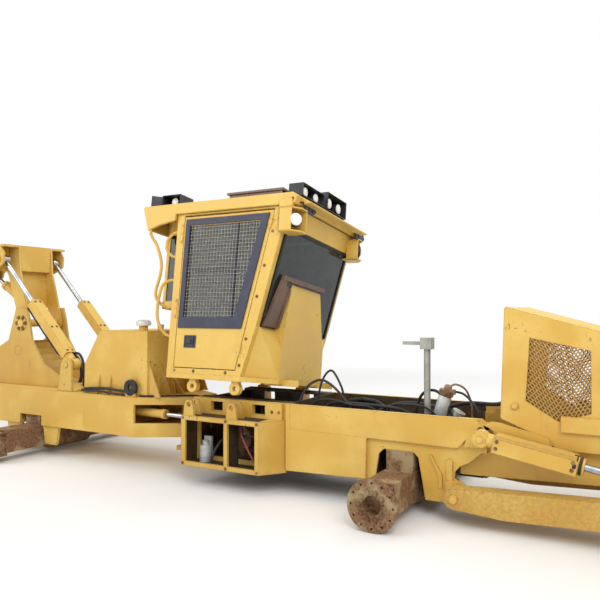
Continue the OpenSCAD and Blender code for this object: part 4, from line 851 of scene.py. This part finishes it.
def crossing(x):
    """Lowest and highest point of the grille's opening at a station."""
    found = []
    for (ax, az), (bx, bz) in zip(grille_opening, grille_opening[1:] + grille_opening[:1]):
        if ax != bx and min(ax, bx) <= x <= max(ax, bx):
            found.append(az + (bz - az) * (x - ax) / (bx - ax))
    return min(found), max(found)


strand_gap, step, half_cell = 0.0142, 0.011, 0.0062
strand_points, strand_edges = [], []
for side in (-1, 1):
    for k in range(30):
        x = 3.085 + strand_gap * k
        low, high = crossing(x)
        start = len(strand_points)
        for i in range(int((high - low + 0.02) / step) + 1):
            swing = half_cell * (1 if i % 4 in (1, 2) else -1) * (1 if k % 2 else -1)
            strand_points.append((x + swing, side * 0.4435, low - 0.01 + step * i))
            if i:
                strand_edges.append((start + i - 1, start + i))
side_mesh = grown("expanded_side_mesh", wires, strand_points, strand_edges, {"Wire radius": 0.0052, "Sides": 5},
                  mesh_enamel, "front_frame")
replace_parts(side_mesh, "side_grilles")
print("housing dressed")

# %% [markdown]
# Cylinders
# The rod eyes are rough castings on bright rods. A cap over the lift barrels, black lines along the arch barrels
# and clamps at the glands are what a stripped cylinder still carries.

# %% Cylinder trim


def eyes(name, body, long, y, r, wide, neck=0):
    """A rod's eye, mirrored when it stands off the middle, with a neck where there is room."""
    bm = bmesh.new()
    bore = r * 0.55
    turned(bm, (0, -y - wide / 2 + 0.002, long), (0, 1, 0),
           [(r + 0.001, 0), (r + 0.001, wide - 0.004), (bore, wide - 0.004), (bore, 0)], 36, True)
    if neck:
        turned(bm, (0, -y, long - r - 0.03), (0, 0, 1), [(neck + 0.002, 0), (neck + 0.008, 0.01), (neck + 0.009, 0.04)])
    if y:
        mirrored(bm)
    piece(name, bm, cast_rust, body, bevel=0.002, smooth=True)


eyes("arch_rod_eyes", "arch_rods", arch_long, arch_y, 0.049, 0.078)
eyes("lift_rod_eyes", "blade_rods", lift_long, lift_y, 0.046, 0.06, 0.026)
eyes("boom_rod_eye", "boom_rod", boom_long, 0, 0.042, 0.06)

lids = bmesh.new()
slab(lids, -0.062, -0.056, -lift_y - 0.062, -lift_y + 0.062, 0.1, 0.64)
slab(lids, -0.062, -0.036, -lift_y - 0.064, -lift_y - 0.058, 0.1, 0.64)
slab(lids, -0.062, -0.036, -lift_y + 0.058, -lift_y + 0.064, 0.1, 0.64)
mirrored(lids)
piece("lift_barrel_guards", lids, worn_enamel, "blade_barrels", bevel=0.002)

lines = bmesh.new()
pipe(lines, 0.009, [(x, -arch_y - off, z) for x, off, z in (
    (-0.03, 0.04, 0.9), (-0.058, 0.045, 0.88), (-0.068, 0.045, 0.8), (-0.068, 0.045, 0.3), (-0.06, 0.04, 0.2),
    (-0.04, 0.02, 0.16))])
turned(lines, (-0.035, -arch_y - 0.03, 0.9), (-1, -0.5, 0), [(0.018, 0), (0.018, 0.03), (0.012, 0.045)], 12)
mirrored(lines)
piece("arch_barrel_pipes", lines, black_rubber, "arch_barrels", smooth=True)
clamps = bmesh.new()
for z, profile in (
    (0.615, [(0.058, 0), (0.066, 0.004), (0.066, 0.026), (0.058, 0.03), (0.05, 0.03), (0.05, 0)]),
    (0.655, [(0.058, 0), (0.062, 0.004), (0.062, 0.018), (0.05, 0.022), (0.03, 0.022), (0.03, 0)]),
):
    turned(clamps, (0, -lift_y, z), (0, 0, 1), profile, 32, True)
mirrored(clamps)
piece("lift_barrel_clamps", clamps, black_rubber, "blade_barrels", smooth=True)
print("cylinders dressed")

# %% [markdown]
# Hoses and cables
# With the engine out, its hoses lie cut loose in the bay. More lie along the deck beside the tank and round the
# tower's foot, and a few hang in the hatch boxes. Their hidden ends run down out of sight.
# They lie still on their own frame, so they are swept pipes and not free cords.

# %% Hoses


def laid(name, body, finish, routes):
    """Hoses of a body as one piece. Each row is a radius and a route."""
    hoses = bmesh.new()
    for radius, route in routes:
        pipe(hoses, radius, route)
    piece(name, hoses, finish, body, smooth=True)


laid("loose_bay_hoses", "front_frame", black_rubber, [
    (0.011, [(1.2, -0.39, 0.7), (1.22, -0.4, 0.8), (1.3, -0.4, 0.93), (1.42, -0.38, 0.98), (1.55, -0.36, 0.9),
     (1.66, -0.34, 0.76), (1.7, -0.3, 0.66)]),
    (0.009, [(1.25, -0.32, 0.69), (1.34, -0.33, 0.79), (1.5, -0.36, 0.82), (1.68, -0.37, 0.79), (1.85, -0.36, 0.78),
     (1.98, -0.33, 0.69)]),
    (0.013, [(1.3, -0.25, 0.66), (1.45, -0.3, 0.77), (1.62, -0.35, 0.8), (1.9, -0.34, 0.795), (2.1, -0.3, 0.77),
     (2.25, -0.22, 0.68)]),
    (0.01, [(1.5, -0.2, 0.66), (1.54, -0.22, 0.85), (1.46, -0.22, 1.02), (1.4, -0.22, 1.04), (1.34, -0.24, 0.94),
     (1.3, -0.26, 0.72)]),
    (0.008, [(1.9, -0.2, 0.66), (2, -0.28, 0.79), (2.15, -0.32, 0.82), (2.3, -0.3, 0.8), (2.42, -0.24, 0.68)]),
    (0.012, [(2.12, -0.12, 0.6), (2.2, -0.16, 0.86), (2.32, -0.2, 0.93), (2.42, -0.2, 0.86), (2.5, -0.2, 0.66)]),
    (0.009, [(2.3, -0.1, 0.6), (2.42, -0.14, 0.88), (2.55, -0.2, 0.92), (2.66, -0.24, 0.84), (2.7, -0.26, 0.78)]),
    (0.016, [(2.05, 0.1, 0.6), (2.3, 0.05, 0.74), (2.55, -0.02, 0.82), (2.8, -0.1, 0.84), (2.93, -0.14, 0.9)]),
    (0.014, [(1.6, 0.1, 0.6), (1.8, 0.14, 0.72), (2, 0.18, 0.76), (2.3, 0.2, 0.72), (2.5, 0.18, 0.6)]),
])
laid("deck_hoses", "rear_frame", black_rubber, [
    (0.014, [(-1.44, -0.32, 0.74), (-1.36, -0.41, 0.75), (-1.2, -0.44, 0.765), (-1, -0.45, 0.775),
     (-0.86, -0.45, 0.765), (-0.76, -0.44, 0.76), (-0.7, -0.41, 0.74)]),
    (0.01, [(-1.46, -0.36, 0.73), (-1.3, -0.45, 0.735), (-1.1, -0.46, 0.745), (-0.9, -0.463, 0.73),
     (-0.74, -0.42, 0.72)]),
    (0.01, [(-0.6, -0.41, 0.72), (-0.45, -0.38, 0.725), (-0.3, -0.26, 0.725), (-0.18, -0.14, 0.722),
     (-0.12, -0.08, 0.715)]),
    (0.016, [(-1.66, -0.33, 0.9), (-1.7, -0.33, 1.02), (-1.66, -0.3, 1.08), (-1.58, -0.29, 1.02), (-1.55, -0.29, 0.86),
     (-1.6, -0.3, 0.74)]),
    (0.014, [(-1.72, -0.3, 0.74), (-1.75, -0.3, 0.92), (-1.7, -0.29, 1.06), (-1.6, -0.285, 1.1), (-1.52, -0.285, 0.98),
     (-1.5, -0.3, 0.74)]),
])
laid("red_battery_cable", "front_frame", red_sleeve, [
    (0.009, [(0.7, -0.5, 0.56), (0.72, -0.56, 0.5), (0.8, -0.6, 0.4), (0.88, -0.6, 0.28), (0.92, -0.56, 0.21)]),
])
laid("hatch_hoses", "front_frame", black_rubber, [
    (0.014, [(0.66, -0.47, 0.5), (0.7, -0.52, 0.47), (0.8, -0.54, 0.475), (0.9, -0.5, 0.48)]),
    (0.013, [(0.5, -0.46, 0.44), (0.47, -0.54, 0.38), (0.44, -0.6, 0.28), (0.43, -0.61, 0.215)]),
    (0.01, [(0.33, -0.47, 0.5), (0.36, -0.5, 0.56), (0.44, -0.52, 0.58), (0.54, -0.5, 0.56), (0.58, -0.47, 0.5)]),
])
filter_can, filter_head = bmesh.new(), bmesh.new()
filter_foot, filter_axis = (2.37, -0.2, 0.73), (0.32, 0, 1)
turned(filter_can, filter_foot, filter_axis,
       [(0.03, 0), (0.05, 0.012), (0.052, 0.02), (0.052, 0.16), (0.044, 0.172)], 32)
turned(filter_head, filter_foot, filter_axis,
       [(0.05, 0.172), (0.058, 0.18), (0.058, 0.215), (0.03, 0.222), (0.03, 0.25), (0.016, 0.262)], 24)
slab(filter_head, 2.375, 2.5, -0.215, -0.185, 0.905, 0.945)
pipe(filter_head, 0.008, [(2.44, -0.2, 0.95), (2.5, -0.2, 0.985), (2.58, -0.2, 0.95), (2.62, -0.18, 0.84),
                          (2.62, -0.15, 0.7)])
piece("bay_filter_can", filter_can, pale_sheet, "front_frame", smooth=True)
piece("bay_filter_head", filter_head, cast_rust, "front_frame", smooth=True)
print("hoses laid")

# %% [markdown]
# Bolts
# Heads are listed body by body with the direction they face. Small ones stand for M12 and large ones for M20 screws.

# %% Bolts
small = {"Head radius": 0.01, "Head height": 0.008, "Washer radius": 0.014}
large = {"Head radius": 0.017, "Head height": 0.014, "Washer radius": 0.023}
left, front, up = (0, 1, 0), (1, 0, 0), (0, 0, 1)


def both_ways(rows, y):
    """Places in X and Z on both sides, each facing outwards."""
    return [((x, s * y, z), (0, s, 0)) for s in (-1, 1) for x, z in rows]


def ring_of(x, z, r, n, start=0):
    return [(x + r * math.cos(start + a), z + r * math.sin(start + a)) for a in circle(n)]


cab_heads = both_ways([(0.985, 2.1), (0.925, 1.8), (0.871, 1.53), (0.79, 1.16), (0.74, 0.93)], pillar_face)
cab_heads += both_ways([(1.186, 2.365)], 0.6955) + both_ways([(0.03, 0.86), (0.25, 0.86), (0.6, 0.86)], 0.6605)
hatch_heads = both_ways([(x, z) for x in (0.15, 0.62, 0.94) for z in (0.2, 0.605)], 0.6552)
hatch_heads += [((x, 0.6632, z), left) for x in (0.3, 0.45, 0.8) for z in (0.21, 0.595)]
lists = [
    ("cab_bolts", "cab", small, cab_heads),
    ("roof_bolts", "cab", small, [((x, y, 2.4258), up) for x in (-0.3, 0.1, 0.95, 1.15) for y in (-0.64, 0.64)]),
    ("hub_cover_bolts", "front_frame", large, both_ways(ring_of(axle_x, axle_z, 0.096, 10), 1.0003)),
    ("rear_hub_cover_bolts", "rear_frame", large, both_ways(ring_of(-axle_x, axle_z, 0.096, 10), 1.0003)),
    ("hatch_bolts", "front_frame", small, hatch_heads),
    ("rail_bolts", "front_frame", small, both_ways([(x, 0.69) for x in (0.17, 0.52, 0.98, 1.05)], rail_face)),
    ("lift_bracket_bolts", "front_frame", large, both_ways(ring_of(2.79, 0.655, 0.05, 4, 0.6), rail_face)),
    ("tower_bolts", "rear_frame", large, both_ways(ring_of(-2.56, 1.42, 0.07, 6), 0.2782)),
    ("arch_guard_bolts", "arch_barrels", small,
     [((0.0632, s * (arch_y + d), z), front) for s in (-1, 1) for d in (-0.032, 0.032) for z in (0.15, 0.5, 0.89)]),
    ("lift_guard_bolts", "blade_barrels", small,
     [((x, s * 0.6304, z), (0, s, 0)) for s in (-1, 1) for x in (-0.02, 0.03) for z in (0.12, 0.62)]),
]
for name, body, sizes, rows in lists:
    finish = cast_rust if "hub" in name else axle_rust
    grown(name, bolts, [p for p, _ in rows], [], sizes, finish, body, [d for _, d in rows])
print(sum(len(row[3]) for row in lists), "bolts set")

# %% [markdown]
# Studio
# A pale floor and four broad soft lamps light the machine at a plain level, so that colours render as written.
# The background is white because the world sends white to the camera, to gloss and through glass, and a softer grey
# elsewhere. The floor starts to glow 5 m out and is plain white from 13 m on, so it meets that white without a horizon.

# %% Floor, world and lamps
world = bpy.data.worlds.new("studio")
bpy.context.scene.world = world
world.use_nodes = True
sky = world.node_tree
sky.nodes.clear()
ray = add(sky, "ShaderNodeLightPath")
seen = sum_of(ray.outputs["Is Camera Ray"], ray.outputs["Is Glossy Ray"], ray.outputs["Is Transmission Ray"])
plain = add(sky, "ShaderNodeBackground", {"Color": "#FFFFFF", "Strength": 0.55})
white = add(sky, "ShaderNodeBackground", {"Color": "#FFFFFF", "Strength": 1.0})
blend = add(sky, "ShaderNodeMixShader", {0: seen, 1: plain.outputs[0], 2: white.outputs[0]})
add(sky, "ShaderNodeOutputWorld", {0: blend.outputs[0]})

floor_mesh = bpy.data.meshes.new("studio_floor")
floor_mesh.from_pydata([(-400, -400, 0), (400, -400, 0), (400, 400, 0), (-400, 400, 0)], [], [(0, 1, 2, 3)])
floor = put("studio_floor", floor_mesh)
paint, bsdf, place = new_material("pale_studio_floor", Roughness=0.9)
tree = place.id_data
fill(bsdf.inputs["Base Color"], mix(noise(place, 1.5), "#F1F1EF", "#EDEDEB"))
away = add(tree, "ShaderNodeVectorMath", {0: place}, operation="LENGTH").outputs["Value"]
backdrop = add(tree, "ShaderNodeEmission", {"Color": "#FFFFFF", "Strength": 1.0})
faded_out = add(tree, "ShaderNodeMixShader",
                {0: ramp(away, 5.0, 13.0), 1: bsdf.outputs[0], 2: backdrop.outputs[0]})
fill(tree.nodes["Material Output"].inputs["Surface"], faded_out.outputs[0])
floor_mesh.materials.append(paint)

# place, aim, size in metres, power in watts
lamp_table = [
    ((7.0, -7.0, 7.5), (0.0, 0.0, 1.0), 6.0, 600.0),
    ((-6.0, -8.0, 6.0), (-0.5, 0.0, 1.2), 6.0, 340.0),
    ((2.0, 8.0, 7.0), (0.0, 0.0, 1.0), 6.0, 280.0),
    ((0.0, 0.0, 11.0), (0.0, 0.0, 0.0), 8.0, 340.0),
]
for i, (spot, aim, size, power) in enumerate(lamp_table):
    data = bpy.data.lights.new(f"softbox_{i}", "AREA")
    data.shape, data.size, data.energy = "SQUARE", size, power
    lamp = put(data.name, data)
    lamp.location = spot
    lamp.rotation_euler = (Vector(aim) - Vector(spot)).to_track_quat("-Z", "Y").to_euler()
bpy.context.scene.view_settings.view_transform = "Standard"
print(len(lamp_table), "lamps")
